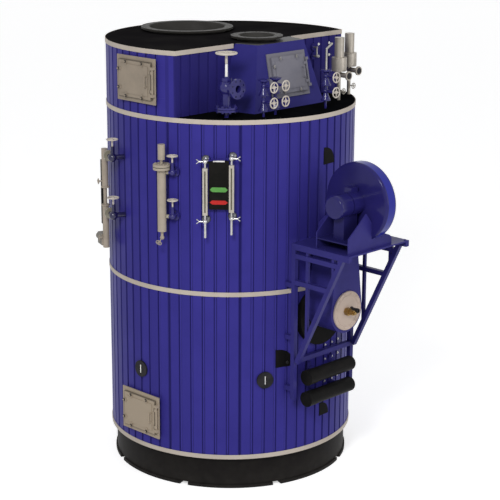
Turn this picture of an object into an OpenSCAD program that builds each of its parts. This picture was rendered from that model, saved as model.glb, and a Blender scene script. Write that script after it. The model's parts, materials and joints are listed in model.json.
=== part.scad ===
// Vertical marine boiler: a clad drum with a D-shaped smoke house on top, gauges,
// deck valves and an oil burner with its fan on a bracket frame.
// Millimetres, +Z up, origin on the drum's axis at floor level, burner towards -Y.
// An angle around the drum is counted from -Y towards +X.

/* [Drum] */
// Outer radius of the cream bands around the drum
shell_r = 1200; // [1000:10:1400]
// Thickness of cladding, insulation and plate together
wall_t = 100; // [60:5:140]
// Height of the black foot flange
foot_h = 60; // [40:5:90]
// Height of the black skirt
skirt_h = 250; // [180:10:320]
// Height of the lower cladding course
lower_h = 1622; // [1500:10:1800]
// Height of the upper cladding course
upper_h = 1600; // [1500:10:1800]
// Height of the smoke house above the deck
house_h = 578; // [540:2:640]
// Distance of the house's straight front wall from the drum's axis
chord_y = 415; // [380:5:440]
// Thickness of the deck and roof plates
plate_t = 20; // [12:1:30]
// Thickness of a cream band
band_t = 5; // [3:1:8]
// Height of a cream band
band_h = 42; // [30:2:60]
// Number of cladding panels around the drum
panel_n = 66; // [66:11:88]
// Width of the groove between two panels
groove_w = 26; // [16:1:36]
// Depth of the groove between two panels
groove_d = 12; // [6:1:18]
// How far the skirt stands inside the bands
skirt_in = 50; // [40:2:90]
// Thickness of the skirt's plate
skirt_t = 25; // [16:1:40]
// How far the foot flange stands out from the skirt
foot_out = 24; // [16:1:30]
// Angle of each gap in the foot flange
foot_gap = 9.4; // [6:0.2:14]

/* [Uptakes and hood] */
// Outer radius of the large uptake's flange
exhaust_r = 450; // [380:5:480]
// Width of the roof behind the large uptake
exhaust_in = 140; // [120:5:180]
// Outer radius of the small uptake's flange
furnace_r = 245; // [200:5:260]
// How far the small uptake's middle lies behind the house's front wall
furnace_in = 75; // [60:5:90]
// Height of the uptakes over the roof
uptake_h = 40; // [30:1:80]
// Thickness of the uptakes' flanges
uptake_flange = 18; // [12:1:24]
// Half width of the hood at its top front corners
hood_top = 310; // [290:5:340]
// Half width of the hood at its bottom front corners
hood_foot = 470; // [440:5:490]
// Reach of the hood's top in front of the house's wall
hood_top_out = 235; // [200:5:260]
// Reach of the hood's foot in front of the house's wall
hood_foot_out = 360; // [330:5:390]
// Thickness of the hood's plates
hood_t = 12; // [8:1:20]

/* [Doors] */
// Width of a door's frame plate
door_w = 510; // [470:5:540]
// Height of a door's frame plate
door_h = 415; // [380:5:430]
// Width of the frame plate's border
door_border = 60; // [50:1:70]
// Thickness of a door's frame plate
frame_t = 12; // [8:1:16]
// Thickness of a door's leaf
leaf_t = 14; // [10:1:20]
// Gap between a leaf and its frame plate
leaf_gap = 5; // [5:0.5:8]
// How far a leaf laps over the opening on each side
leaf_lap = 22; // [15:1:28]
// Height of the lower door's centre over the skirt
lower_door_up = 345; // [300:5:420]
// How far the house door's centre lies over the middle of the house
house_door_lift = 23; // [0:1:30]
// How far the hood door's centre lies over the middle of the hood
hood_door_lift = 12; // [0:1:20]
// Radius of a hinge pin
pin_r = 9; // [7:0.5:11]
// Running clearance around pins and stems
run_gap = 0.3; // [0.2:0.05:0.6]

/* [Gauges] */
// Angle of the front gauge set
gauge_a = -50; // [-54:0.5:-46]
// Distance of the gauge glasses and of both columns from the cladding
gauge_out = 95; // [88:1:120]
// Depth of the gauge set's centre under the deck
gauge_drop = 597; // [560:1:660]
// Half the distance between the two glasses
gauge_half = 119; // [110:1:130]
// Length of a gauge glass body
gauge_len = 430; // [380:5:440]
// Angle of the level column
column_a = -74; // [-76:0.5:-73]
// Radius of the level column's tube
column_r = 40; // [30:1:46]
// Depth of the level column's lower end under the deck
column_drop = 1015; // [980:5:1060]
// Length of the level column's tube
column_len = 575; // [540:5:620]
// Angle of the left column
left_a = -112; // [-116:0.5:-110]
// Radius of the left column's tube
left_r = 30; // [24:1:36]
// Depth of the left column's foot under the deck
left_drop = 1335; // [1280:5:1400]
// Length of the left column
left_len = 960; // [900:5:1000]

/* [Deck valves] */
// Angle of the main steam valve
main_a = -47.3; // [-50:0.1:-45]
// Distance of the main steam valve from the cladding's outer face
main_in = 142; // [125:1:160]
// Radius of the main handwheel
main_wheel_r = 100; // [80:5:120]
// Radius of the smaller handwheels
wheel_r = 52; // [44:1:58]
// Distance of a stack's handwheel from the stack's axis
wheel_reach = 128; // [115:1:140]

/* [Burner] */
// Depth of the burner's axis under the seam between the courses
burner_drop = 185; // [160:5:230]
// Radius of the windbox round the burner
windbox_r = 215; // [200:5:240]
// Distance of the burner's front plate from the bands
burner_out = 334; // [300:2:380]
// Half the distance between the frame's side planes
frame_half = 400; // [360:5:440]
// Width of the frame's bars
bar_w = 44; // [36:1:54]
// Height of the platform's top over the burner's axis
platform_up = 667; // [640:1:700]
// Reach of the platform's front edge from the bands
platform_out = 695; // [660:5:740]
// Radius of the fan's scroll
fan_r = 362; // [320:2:380]
// Width of the fan's scroll
fan_w = 140; // [120:2:160]
// Gap between the fan's scroll and the platform
fan_clear = 39; // [25:1:60]
// Distance of the fan's axis from the bands
fan_out = 463; // [440:1:500]
// Radius of the fan's motor
motor_r = 110; // [90:2:120]
// Length of the fan's motor
motor_len = 315; // [260:5:340]
// Radius of an oil heater
heater_r = 70; // [55:1:78]
// Length of an oil heater
heater_len = 640; // [560:10:700]

/* [Hidden] */
$fn = 64;
WHEELS = ["main_wheel", "mid_wheel_1", "mid_wheel_2", "mid_wheel_3", "mid_wheel_4",
          "right_wheel_1", "right_wheel_2", "column_wheel_1", "column_wheel_2",
          "left_wheel_1", "left_wheel_2"];

// Small gaps: between solids that touch in life, and at face contacts
seam = 0.6;
seat = 0.3;

// Levels and radii of the drum
shell_z = foot_h + skirt_h;
mid_z = shell_z + lower_h;
deck_z = mid_z + upper_h;
deck_top = deck_z + plate_t;
roof_z = deck_top + house_h;
roof_top = roof_z + plate_t;
crest_r = shell_r - band_t - seat;
valley_r = crest_r - groove_d;
clad_gap = 0.1;
clad_r = crest_r + clad_gap;
inner_r = crest_r - wall_t;
skirt_r = shell_r - skirt_in;
exhaust_y = shell_r - exhaust_r - exhaust_in;
furnace_y = chord_y - furnace_in;
burner_z = mid_z - burner_drop;
burner_y = shell_r + burner_out;
platform_z = burner_z + platform_up;
platform_y = shell_r + platform_out;
fan_z = platform_z + fan_r + fan_clear;
fan_y = shell_r + fan_out;
gauge_z = deck_z - gauge_drop;
column_z = deck_z - column_drop;
left_low = deck_z - left_drop;

// Cladding panels: eleven segments, one of them centred on the doors' angle
pitch = 360 / panel_n;
segment_n = 11;
segment_panels = panel_n / segment_n;
segment_a = segment_panels * pitch;
door_a = -90;
groove_top = asin(groove_w / 2 / crest_r);
groove_low = asin(groove_w / 4 / crest_r);
seam_a = asin(seam / 2 / crest_r);

// Doors: the neck through the wall, and the leaf over it
neck_w = door_w - 2 * door_border;
neck_h = door_h - 2 * door_border;
neck_t = 10;
neck_back = 10;
frame_stand = 22;
frame_face = crest_r + frame_stand;
leaf_w = neck_w + 2 * leaf_lap;
leaf_h = neck_h + 2 * leaf_lap;
pin_wall = 6;
hinge_gap = 9;
hinge_x = leaf_w / 2 + pin_r + pin_wall + hinge_gap;
hinge_stand = 8;
hinge_out = leaf_gap + leaf_t / 2 + hinge_stand;
hinge_lug = 26;
hinge_half = 110;
lower_door_z = shell_z + lower_door_up;
house_door_z = deck_top + house_h / 2 + house_door_lift;
hood_door_x = 30;
hood_rise = roof_top - deck_top;
hood_lean = atan((hood_foot_out - hood_top_out) / hood_rise);
hood_splay = 0.25;

// Uptakes: width of the flange outside the duct, and its distance to the duct's bore
uptake_rim = 60;
uptake_wall = 12;
duct_in = uptake_rim + uptake_wall;
uptake_edge = 24;
bolt_hole_r = 9;
exhaust_bolts = 24;
furnace_bolts = 12;

// The cladding's face at a sideways distance x, and how far it falls back there
function clad_y(x) = sqrt(pow(crest_r, 2) - pow(x, 2));
function sag(x) = crest_r - clad_y(x);

// A point at radius r and angle a in plan
function polar(r, a) = [r * sin(a), -r * cos(a)];

// Places children, drawn facing -Y, at an angle, a radius and a height
module at_angle(a, r, z) {
    rotate([0, 0, a]) translate([0, -r, z]) children();
}

// A cylinder along -Y that starts at the local origin
module out_rod(r, len) {
    rotate([90, 0, 0]) cylinder(r = r, h = len);
}

// A square bar between two points of the plane x = 0, along its middle line
module bar(p, q, w) {
    d = q - p;
    translate([0, p[0], p[1]]) rotate([atan2(d[1], d[0]), 0, 0])
        translate([-w / 2, 0, -w / 2]) cube([w, norm(d), w]);
}

// Plan of one cladding segment that starts at angle a0 and holds n panels
module segment_plan(a0, n) {
    a1 = a0 + n * pitch;
    outer = [for (j = [0 : n - 1]) each [
        polar(valley_r, a0 + j * pitch + (j == 0 ? seam_a : groove_low)),
        polar(crest_r, a0 + j * pitch + groove_top),
        polar(crest_r, a0 + (j + 1) * pitch - groove_top),
        polar(valley_r, a0 + (j + 1) * pitch - (j == n - 1 ? seam_a : groove_low))]];
    inner = [for (j = [n : -1 : 0])
        polar(inner_r, a0 + j * pitch + (j == 0 ? seam_a : j == n ? -seam_a : 0))];
    polygon(concat(outer, inner));
}

// One course of cladding, as upright segments
module course(z, h) {
    translate([0, 0, z]) linear_extrude(h)
        for (i = [0 : segment_n - 1]) segment_plan(door_a + (i - 0.5) * segment_a, segment_panels);
}

// The hole for a door's neck, and the slits that part the wall over and under it
module doorway(z) {
    half = shell_r * sin(segment_a / 2);
    depth = 2 * shell_r - inner_r / 2;
    at_angle(door_a, 2 * shell_r, z) {
        translate([-neck_w / 2 - seam, 0, -neck_h / 2 - seam])
            cube([neck_w + 2 * seam, depth, neck_h + 2 * seam]);
        for (s = [-1, 1]) translate([-half, 0, s * (neck_h + seam) / 2 - seam / 2])
            cube([2 * half, depth, seam]);
    }
}

// A cladding port: upright at its left edge, round at its right, with a plate on its floor
port_depth = 60;
port_plate = 8;
port_floor = crest_r - port_depth;
deck_port_drop = 389;
deck_port_r = 64;
deck_port = [2, deck_z - deck_port_drop, deck_port_r];
foot_port_up = 360;
foot_port_r = 62;
foot_port = [3, shell_z + foot_port_up, foot_port_r];
drain_port_drop = 464;
drain_port_r = 82;
drain_port = [-20, burner_z - drain_port_drop, drain_port_r];
ports = [deck_port, foot_port, drain_port];
drain_r = 14;
drain_len = 34;
drain_low = 44;
module port_plan(r) {
    intersection() {
        translate([-r / 2, 0]) circle(r = r);
        translate([-r / 2, -r]) square([2 * r, 2 * r]);
    }
}
module port_cuts() {
    for (p = ports) at_angle(p[0], port_floor, p[1])
        rotate([90, 0, 0]) linear_extrude(2 * port_depth) port_plan(p[2]);
}

// The burner's throat: a round plug through the wall
throat_drop = 97;
throat_z = burner_z - throat_drop;
throat_r = 300;
throat_in = 60;
throat_out = 25;
throat_y = shell_r + throat_out;
module throat_cut() {
    translate([0, -inner_r + throat_in, throat_z]) out_rod(throat_r + seam, shell_r);
}

module base_ring() {
    color("#17171a") difference() {
        cylinder(r = skirt_r + foot_out, h = foot_h);
        translate([0, 0, -1]) cylinder(r = skirt_r - 3 * skirt_t, h = foot_h + 2);
        for (i = [0 : 7]) at_angle(22.5 + 45 * i, 0, -1)
            linear_extrude(foot_h + 2) polygon([[0, 0],
                2 * skirt_r * [-tan(foot_gap / 2), -1], 2 * skirt_r * [tan(foot_gap / 2), -1]]);
    }
}

module skirt() {
    color("#1b1b1e") translate([0, 0, foot_h]) difference() {
        cylinder(r = skirt_r, h = skirt_h);
        translate([0, 0, -1]) cylinder(r = skirt_r - skirt_t, h = skirt_h + 2);
    }
}

module bottom_plate() {
    color("#1b1b1e") translate([0, 0, shell_z])
        cylinder(r = inner_r * cos(pitch / 2) - seat, h = plate_t);
}

module lower_shell() {
    color("#2b2a86") difference() {
        course(shell_z, lower_h - seam);
        doorway(lower_door_z);
        port_cuts();
        throat_cut();
    }
}

module upper_shell() {
    color("#2b2a86") difference() {
        course(mid_z, upper_h);
        port_cuts();
        throat_cut();
    }
}

module deck_plate() {
    color("#101013") translate([0, 0, deck_z]) cylinder(r = crest_r, h = plate_t);
}

// Plan of the house inside a given distance from its outer faces
module house_plan(inset) {
    intersection() {
        circle(r = crest_r - inset);
        translate([-shell_r, -chord_y + inset]) square([2 * shell_r, 2 * shell_r]);
    }
}

// The house's wall: the round part in segments, and the grooved front wall beside the hood
flue_lap = 20;
flue_half = hood_top - flue_lap;
module house_wall() {
    color("#2b2a86") {
        difference() {
            translate([0, 0, deck_top]) linear_extrude(house_h) intersection() {
                for (i = [0 : segment_n - 1])
                    segment_plan(door_a + (i - 0.5) * segment_a, segment_panels);
                translate([-shell_r, -chord_y + wall_t + seam]) square([2 * shell_r, 2 * shell_r]);
            }
            doorway(house_door_z);
        }
        for (s = [-1, 1]) translate([0, 0, deck_top]) linear_extrude(house_h) front_wall_plan(s);
    }
}

// Plan of the front wall on one side of the hood, with grooves like the cladding's
wall_panel = crest_r * sin(pitch);
module front_wall_plan(s) {
    x0 = flue_half;
    x1 = sqrt(pow(crest_r, 2) - pow(chord_y, 2)) - seam;
    n = floor((x1 - x0) / wall_panel);
    difference() {
        intersection() {
            circle(r = crest_r);
            translate([s > 0 ? x0 : -x1 - 100, -chord_y]) square([x1 - x0 + 100, wall_t]);
        }
        for (i = [0 : n - 1]) translate([s * (x0 + (i + 0.7) * wall_panel), -chord_y])
            polygon([[-groove_w / 2, -1], [-groove_w / 4, groove_d],
                     [groove_w / 4, groove_d], [groove_w / 2, -1]]);
    }
}

module roof_plate() {
    color("#101013") translate([0, 0, roof_z]) difference() {
        linear_extrude(plate_t) house_plan(0);
        translate([0, exhaust_y, -1]) cylinder(r = exhaust_r - duct_in, h = plate_t + 2);
        translate([0, -furnace_y, -1]) cylinder(r = furnace_r - duct_in, h = plate_t + 2);
    }
}

// Bands: three rings, and one that follows the roof's edge up to the hood
band_end = hood_half(roof_z - band_h) + hood_splay * hood_reach(roof_z - band_h) + seam;
module ring_band(z) {
    translate([0, 0, z - band_h / 2]) difference() {
        cylinder(r = shell_r, h = band_h);
        translate([0, 0, -1]) cylinder(r = shell_r - band_t, h = band_h + 2);
    }
}
module cladding_bands() {
    color("#d9cfc0") {
        difference() {
            for (z = [shell_z + band_h / 2, mid_z, deck_z]) ring_band(z);
            throat_cut();
        }
        translate([0, 0, roof_z - band_h / 2]) linear_extrude(band_h) difference() {
            intersection() {
                circle(r = shell_r);
                translate([-shell_r, -chord_y - band_t - seat]) square([2 * shell_r, 2 * shell_r]);
            }
            intersection() {
                circle(r = shell_r - band_t);
                translate([-shell_r, -chord_y - seat]) square([2 * shell_r, 2 * shell_r]);
            }
            translate([-band_end, -2 * chord_y]) square([2 * band_end, 1.5 * chord_y]);
        }
    }
}

// Hood: plates that lean outwards to the deck, open to the house behind
function hood_share(z) = (roof_top - z) / hood_rise;
function hood_half(z) = hood_top + (hood_foot - hood_top) * hood_share(z);
function hood_reach(z) = hood_top_out + (hood_foot_out - hood_top_out) * hood_share(z);
function hood_corners(z, inset, back) = [
    for (s = [-1, 1]) each [
        [s * (hood_half(z) - inset + hood_splay * (hood_reach(z) - inset + back)), -chord_y - seam + back, z],
        [s * (hood_half(z) - inset), -chord_y - seam - hood_reach(z) + inset, z]]];
module hood_solid(z0, z1, inset, back) {
    polyhedron(concat(hood_corners(z1, inset, back), hood_corners(z0, inset, back)),
               [[2, 3, 1, 0], [4, 5, 7, 6], [1, 5, 4, 0], [3, 7, 5, 1], [2, 6, 7, 3], [0, 4, 6, 2]]);
}

// Places children, drawn facing -Y, on the hood's leaning front face
module on_hood() {
    translate([hood_door_x, -chord_y - seam - hood_foot_out, deck_top]) rotate([-hood_lean, 0, 0])
        translate([0, 0, hood_rise / 2 + hood_door_lift]) children();
}
module smoke_hood() {
    color("#2c2b9a") difference() {
        hood_solid(deck_top, roof_top, 0, 0);
        hood_solid(deck_top - 1, roof_top - hood_t, hood_t, 1);
        on_hood() translate([-neck_w / 2 - seam, -wall_t, -neck_h / 2 - seam])
            cube([neck_w + 2 * seam, 3 * wall_t, neck_h + 2 * seam]);
        translate([0, -furnace_y, roof_z]) cylinder(r = furnace_r - duct_in, h = 2 * plate_t);
    }
}

// An uptake: a short duct with a bolted flange
module uptake(r, bolts) {
    difference() {
        union() {
            cylinder(r = r - uptake_rim, h = uptake_h);
            translate([0, 0, uptake_h - uptake_flange]) cylinder(r = r, h = uptake_flange);
        }
        translate([0, 0, -1]) cylinder(r = r - duct_in, h = uptake_h + 2);
        for (i = [0 : bolts - 1]) rotate([0, 0, (i + 0.5) * 360 / bolts])
            translate([r - uptake_edge, 0, 0]) cylinder(r = bolt_hole_r, h = uptake_h + 1);
    }
}
module exhaust_uptake() {
    color("#4c4a46") translate([0, exhaust_y, roof_top]) uptake(exhaust_r, exhaust_bolts);
}
module furnace_uptake() {
    color("#4c4a46") translate([0, -furnace_y, roof_top]) uptake(furnace_r, furnace_bolts);
}

// Door frame: a flat plate with a neck that passes through the wall behind it
module door_frame(neck_len) {
    difference() {
        union() {
            translate([-door_w / 2, -frame_t, -door_h / 2]) cube([door_w, frame_t, door_h]);
            translate([-neck_w / 2, 0, -neck_h / 2]) cube([neck_w, neck_len, neck_h]);
        }
        translate([-neck_w / 2 + neck_t, -frame_t - 1, -neck_h / 2 + neck_t])
            cube([neck_w - 2 * neck_t, neck_len + frame_t + 2, neck_h - 2 * neck_t]);
    }
    for (s = [-1, 1]) translate([hinge_x, -frame_t, s * (hinge_half + hinge_lug / 2)]) difference() {
        translate([-pin_r - pin_wall, -hinge_out - pin_r - pin_wall, -hinge_lug / 2])
            cube([2 * (pin_r + pin_wall), hinge_out + pin_r + pin_wall, hinge_lug]);
        translate([0, -hinge_out, -hinge_lug]) cylinder(r = pin_r + run_gap, h = 2 * hinge_lug);
    }
}
neck_len = frame_face - frame_t - inner_r - neck_back;
module door_frames() {
    color("#a8a49a") {
        for (z = [lower_door_z, house_door_z]) at_angle(door_a, frame_face - frame_t, z) door_frame(neck_len);
        on_hood() translate([0, -seat, 0]) door_frame(hood_t + neck_back);
    }
}

// Door leaf: a plate with a raised cover, clamps round its edge, a grip and a pin through two knuckles
cover_in = 36;
cover_t = 6;
clamp_w = 22;
clamp_len = 34;
clamp_t = 14;
clamp_in = 14;
clamp_rod = 8;
clamp_rod_len = 26;
grip_r = 6;
grip_half = 46;
grip_in = 46;
grip_out = 34;
knuckle_lap = 20;
module door_leaf() {
    translate([0, -frame_t - leaf_gap, 0]) {
        translate([-leaf_w / 2, -leaf_t, -leaf_h / 2]) cube([leaf_w, leaf_t, leaf_h]);
        translate([-leaf_w / 2 + cover_in, -leaf_t - cover_t, -leaf_h / 2 + cover_in])
            cube([leaf_w - 2 * cover_in, cover_t + 1, leaf_h - 2 * cover_in]);
        for (s = [-1, 1], t = [-1, 1]) {
            translate([s * leaf_w / 4, 0, t * (leaf_h / 2 - clamp_in)]) leaf_clamp(t > 0 ? 0 : 180);
            if (s < 0) translate([clamp_in - leaf_w / 2, 0, t * leaf_h / 4]) leaf_clamp(-90);
        }
        translate([leaf_w / 2 - grip_in, -leaf_t, 0]) leaf_grip();
    }
    translate([hinge_x, -frame_t - hinge_out, 0]) {
        translate([0, 0, -hinge_half - hinge_lug]) cylinder(r = pin_r, h = 2 * hinge_half + 2 * hinge_lug);
        for (s = [-1, 1]) translate([0, 0, s * (hinge_half - hinge_lug) - hinge_lug / 2])
            translate([-hinge_x + leaf_w / 2 - knuckle_lap, -pin_r, 0])
                cube([hinge_x - leaf_w / 2 + knuckle_lap, 2 * pin_r, hinge_lug]);
    }
}
module leaf_clamp(turn) {
    rotate([0, turn, 0]) {
        translate([-clamp_w / 2, -leaf_t - clamp_t, -clamp_len + clamp_in - leaf_lap / 2])
            cube([clamp_w, clamp_t + 1, clamp_len]);
        translate([0, -leaf_t, 0]) out_rod(clamp_rod, clamp_rod_len);
    }
}
module leaf_grip() {
    for (s = [-1, 1]) translate([0, 1, s * grip_half]) {
        out_rod(grip_r, grip_out + 1);
        translate([0, -grip_out - 1, 0]) sphere(r = grip_r);
    }
    translate([0, -grip_out, -grip_half]) cylinder(r = grip_r, h = 2 * grip_half);
}
module lower_door() {
    color("#b4b0a6") at_angle(door_a, frame_face - frame_t, lower_door_z) door_leaf();
}
module house_door() {
    color("#b4b0a6") at_angle(door_a, frame_face - frame_t, house_door_z) door_leaf();
}
module hood_door() {
    color("#b4b0a6") on_hood() translate([0, -seat, 0]) door_leaf();
}

// Round plugs on the cladding, each with an upright slot
plug_r = 80;
plug_t = 16;
slot_w = 14;
slot_len = 88;
slot_d = 8;
plug_a = [-90, -29.5];
plug_up = [784, 780];
plugs = [for (i = [0, 1]) [plug_a[i], shell_z + plug_up[i]]];
module inspection_plugs() {
    color("#3a3d44") for (p = plugs) at_angle(p[0], clad_r, p[1]) difference() {
        out_rod(plug_r, plug_t);
        translate([-slot_w / 2, -plug_t - 1, -slot_len / 2]) cube([slot_w, slot_d + 1, slot_len]);
    }
}

module cladding_ports() {
    color("#08080a") {
        for (p = ports) at_angle(p[0], port_floor + seat, p[1])
            rotate([90, 0, 0]) linear_extrude(port_plate) port_plan(p[2] - seam);
        at_angle(drain_port[0], port_floor + port_plate, drain_port[1] - drain_low)
            out_rod(drain_r, drain_len);
    }
}

// Front gauge set: a black board between two glasses with cocks above and below
board_w = 182;
board_over = 10;
board_h = gauge_len + 2 * board_over;
board_t = 8;
board_out = 52;
board_lift = 36;
board_block = 40;
board_block_in = 20;
board_block_z = 150;
glass_w = 44;
glass_d = 40;
glass_lift = 16;
glass_end = 25;
glass_slot_w = 14;
glass_slot_d = 11;
cock_gap = 60;
cock_rod = 12;
cock_ball = 22;
cock_dome = 45;
cock_dome_in = 20;
cock_foot = sqrt(pow(cock_dome, 2) - pow(cock_dome_in, 2));
cock_stub = 9;
cock_side = 55;
cock_side_r = 8;
wing_r = 4.5;
wing_len = 34;
wing_a = 35;
tail_r = 11;
tail_len = 150;
bracket_t = 12;
bracket_gap = 2;
module front_gauge_board() {
    color("#141414") at_angle(gauge_a, clad_r, gauge_z + board_lift) {
        translate([-board_w / 2, -board_out, -board_h / 2]) cube([board_w, board_t, board_h]);
        for (s = [-1, 1])
            translate([board_block_in - board_w / 2, board_t - board_out - 1,
                       s * board_block_z - board_block / 2])
                cube([board_w - 2 * board_block_in, board_out - board_t + 1, board_block]);
    }
}
module front_gauge_glasses() {
    color("#cfc8b8") for (s = [-1, 1])
        at_angle(gauge_a, clad_r + gauge_out, gauge_z + glass_lift * s) translate([s * gauge_half, 0, 0])
            difference() {
                translate([-glass_w / 2, -glass_d / 2, -gauge_len / 2]) cube([glass_w, glass_d, gauge_len]);
                translate([-glass_slot_w / 2, -glass_d / 2 - 1, glass_end - gauge_len / 2])
                    cube([glass_slot_w, glass_slot_d + 1, gauge_len - 2 * glass_end]);
            }
}
module gauge_cock(s, t) {
    out_rod(cock_rod, gauge_out);
    intersection() {
        translate([0, cock_dome_in, 0]) sphere(r = cock_dome);
        translate([0, sag(gauge_half - cock_foot), 0]) out_rod(cock_dome, cock_dome);
    }
    translate([0, -gauge_out, 0]) {
        sphere(r = cock_ball);
        translate([0, 0, t > 0 ? -cock_gap + seat : 0]) cylinder(r = cock_stub, h = cock_gap - seat);
        rotate([0, s * 90, 0]) cylinder(r = cock_side_r, h = cock_side);
        for (k = [-1, 1]) translate([s * (cock_side - wing_r), 0, 0]) rotate([0, s * 90 + k * wing_a, 0])
            cylinder(r = wing_r, h = wing_len);
        if (t < 0) translate([0, 0, -tail_len]) cylinder(r = tail_r, h = tail_len);
    }
}
module front_gauge_cocks() {
    top = gauge_len / 2 + cock_gap;
    color("#b9b6ae") {
        for (s = [-1, 1], t = [-1, 1]) at_angle(gauge_a, clad_r, gauge_z + glass_lift * s + t * top)
            translate([s * gauge_half, 0, 0]) gauge_cock(s, t);
        at_angle(gauge_a, clad_r + board_out + bracket_gap + bracket_t, gauge_z + top)
            rotate([0, -atan2(glass_lift, gauge_half), 0])
                translate([-gauge_half, 0, -bracket_t / 2]) cube([2 * gauge_half, bracket_t, bracket_t]);
    }
}

// A handwheel in its own frame: hub at the origin, stem along -Z
module handwheel(r, rim, stem_r, stem_len, spokes) {
    rotate_extrude() translate([r - rim, 0]) circle(r = rim);
    translate([0, 0, -rim]) cylinder(r = stem_r * 2, h = 2 * rim);
    for (i = [0 : spokes - 1]) rotate([0, 0, i * 360 / spokes]) rotate([0, 90, 0])
        cylinder(r = rim * 0.7, h = r - rim);
    translate([0, 0, -stem_len]) cylinder(r = stem_r, h = stem_len);
}
// The gland that takes a stem: a boss with a blind bore in its end
gland_bore = 25;
stem_in = gland_bore - 1;
module gland(r, len, stem_r) {
    difference() {
        cylinder(r = r, h = len);
        translate([0, 0, len - gland_bore]) cylinder(r = stem_r + run_gap, h = gland_bore + 1);
    }
}

// Level column: a flanged tube with a float head, two side valves and a bent drain with a small wheel
column_flange = 78;
column_flange_t = 24;
column_gasket = 2;
column_neck_r = 12;
column_neck_len = 90;
column_head_r = 33;
column_head_len = 140;
column_drain_r = 13;
column_drain_len = 60;
drain_ball = 20;
drain_turn = 120;
drain_reach = 70;
small_wheel_r = 30;
small_rim = 4;
small_stem = 5;
valve_side = 92;
valve_pad = 45;
valve_pad_t = 17;
valve_ball = 30;
valve_rod = 22;
link_r = 18;
wheel_clear = 8;
valve_out = wheel_r + wheel_clear;
valve_low = 141;
valve_high = 26;
column_valve_z = [column_z + valve_low, column_z + column_len - valve_high];
side_gland_r = 17;
side_gland_len = 90;
side_wheel_up = 152;
stem_r = 8;
link_run = [valve_side, gauge_out - valve_out];
link_a = atan2(link_run[1], link_run[0]);
module level_column() {
    top = column_z + column_len;
    color("#cfc8b8") at_angle(column_a, clad_r + gauge_out, 0) {
        translate([0, 0, column_z]) cylinder(r = column_r, h = column_len + 1);
        for (i = [0, 1]) translate([0, 0, top + i * (column_flange_t + column_gasket)])
            cylinder(r = column_flange, h = column_flange_t);
        translate([0, 0, top + 1]) cylinder(r = column_neck_r, h = column_neck_len);
        translate([0, 0, top + column_neck_len]) cylinder(r = column_head_r, h = column_head_len);
        translate([0, 0, column_z - column_drain_len]) {
            cylinder(r = column_drain_r, h = column_drain_len + 1);
            sphere(r = drain_ball);
            rotate([drain_turn, 0, 0]) translate([0, 0, drain_reach])
                handwheel(small_wheel_r, small_rim, small_stem, drain_reach, 4);
        }
    }
}
module level_column_valves() {
    color("#b9b6ae") at_angle(column_a, clad_r, 0) for (z = column_valve_z) translate([valve_side, 0, z]) {
        out_rod(valve_rod, valve_out);
        translate([0, sag(valve_side - valve_pad), 0]) out_rod(valve_pad, valve_pad_t);
        translate([0, -valve_out, 0]) {
            sphere(r = valve_ball);
            rotate([0, 0, link_a]) rotate([0, -90, 0])
                cylinder(r = link_r, h = norm(link_run) - column_r - seat);
            gland(side_gland_r, side_gland_len, stem_r);
        }
    }
}

// Left column at the drum's side: thick and thin tube, a rail, a switch box and two side valves
left_side = 230;
left_rod = 24;
left_ball = 42;
left_flange_r = 52;
left_flange_t = 16;
left_flange_x = 110;
left_gland_len = 105;
left_wheel_up = 170;
left_wheel_more = 5;
left_valve_up = [364, 916];
left_thin_r = 18;
left_thin = [423, 583];
left_collar = 8;
left_collar_h = 14;
left_box = [130, 70, 110];
left_box_at = 150;
left_box_up = 13;
knob_r = 34;
knob_len = 60;
diamond_up = [99, 649];
diamond_r = 28;
diamond_t = 8;
diamond_rod = 7;
diamond_out = 62;
rail_w = 40;
rail_up = 223;
rail_len = 620;
module left_column() {
    color("#cfc8b8") at_angle(left_a, clad_r + gauge_out, left_low) {
        cylinder(r = left_r, h = left_thin[0]);
        translate([0, 0, left_thin[0] - 1]) cylinder(r = left_thin_r, h = left_thin[1] - left_thin[0] + 2);
        translate([0, 0, left_thin[1]]) cylinder(r = left_r, h = left_len - left_thin[1]);
        for (z = [left_thin[0] - left_collar_h, left_thin[1]]) translate([0, 0, z]) intersection() {
            cylinder(r = left_r + left_collar, h = left_collar_h);
            translate([-left_r, -2 * left_r, 0]) cube([4 * left_r, 4 * left_r, left_collar_h]);
        }
        translate([-left_box_at, -left_box[1] / 2, left_box_up]) cube(left_box);
        translate([-left_box_at, 0, left_box_up + left_box[2] / 2]) rotate([0, -90, 0])
            cylinder(r = knob_r, h = knob_len);
        for (z = diamond_up) translate([0, 0, z]) {
            out_rod(diamond_rod, diamond_out);
            translate([0, -diamond_out, 0]) rotate([90, 0, 0])
                cylinder(r = diamond_r, h = diamond_t, $fn = 4);
        }
    }
}
module left_indicator() {
    color("#101012") at_angle(left_a, clad_r + gauge_out, left_low + rail_up)
        translate([-left_r - seat - rail_w, -rail_w / 2, 0]) cube([rail_w, rail_w, rail_len]);
}
module left_valves() {
    back = sag(left_side - left_rod);
    color("#2b2a86") at_angle(left_a, clad_r, left_low) for (z = left_valve_up) translate([left_side, 0, z]) {
        translate([0, back, 0]) out_rod(left_rod, gauge_out + back);
        translate([0, -gauge_out, 0]) {
            sphere(r = left_ball);
            rotate([0, -90, 0]) cylinder(r = link_r, h = left_side - left_r - seat);
            translate([-left_flange_x, 0, 0]) rotate([0, 90, 0])
                cylinder(r = left_flange_r, h = left_flange_t);
            gland(side_gland_r, left_gland_len, stem_r);
        }
    }
}

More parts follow.
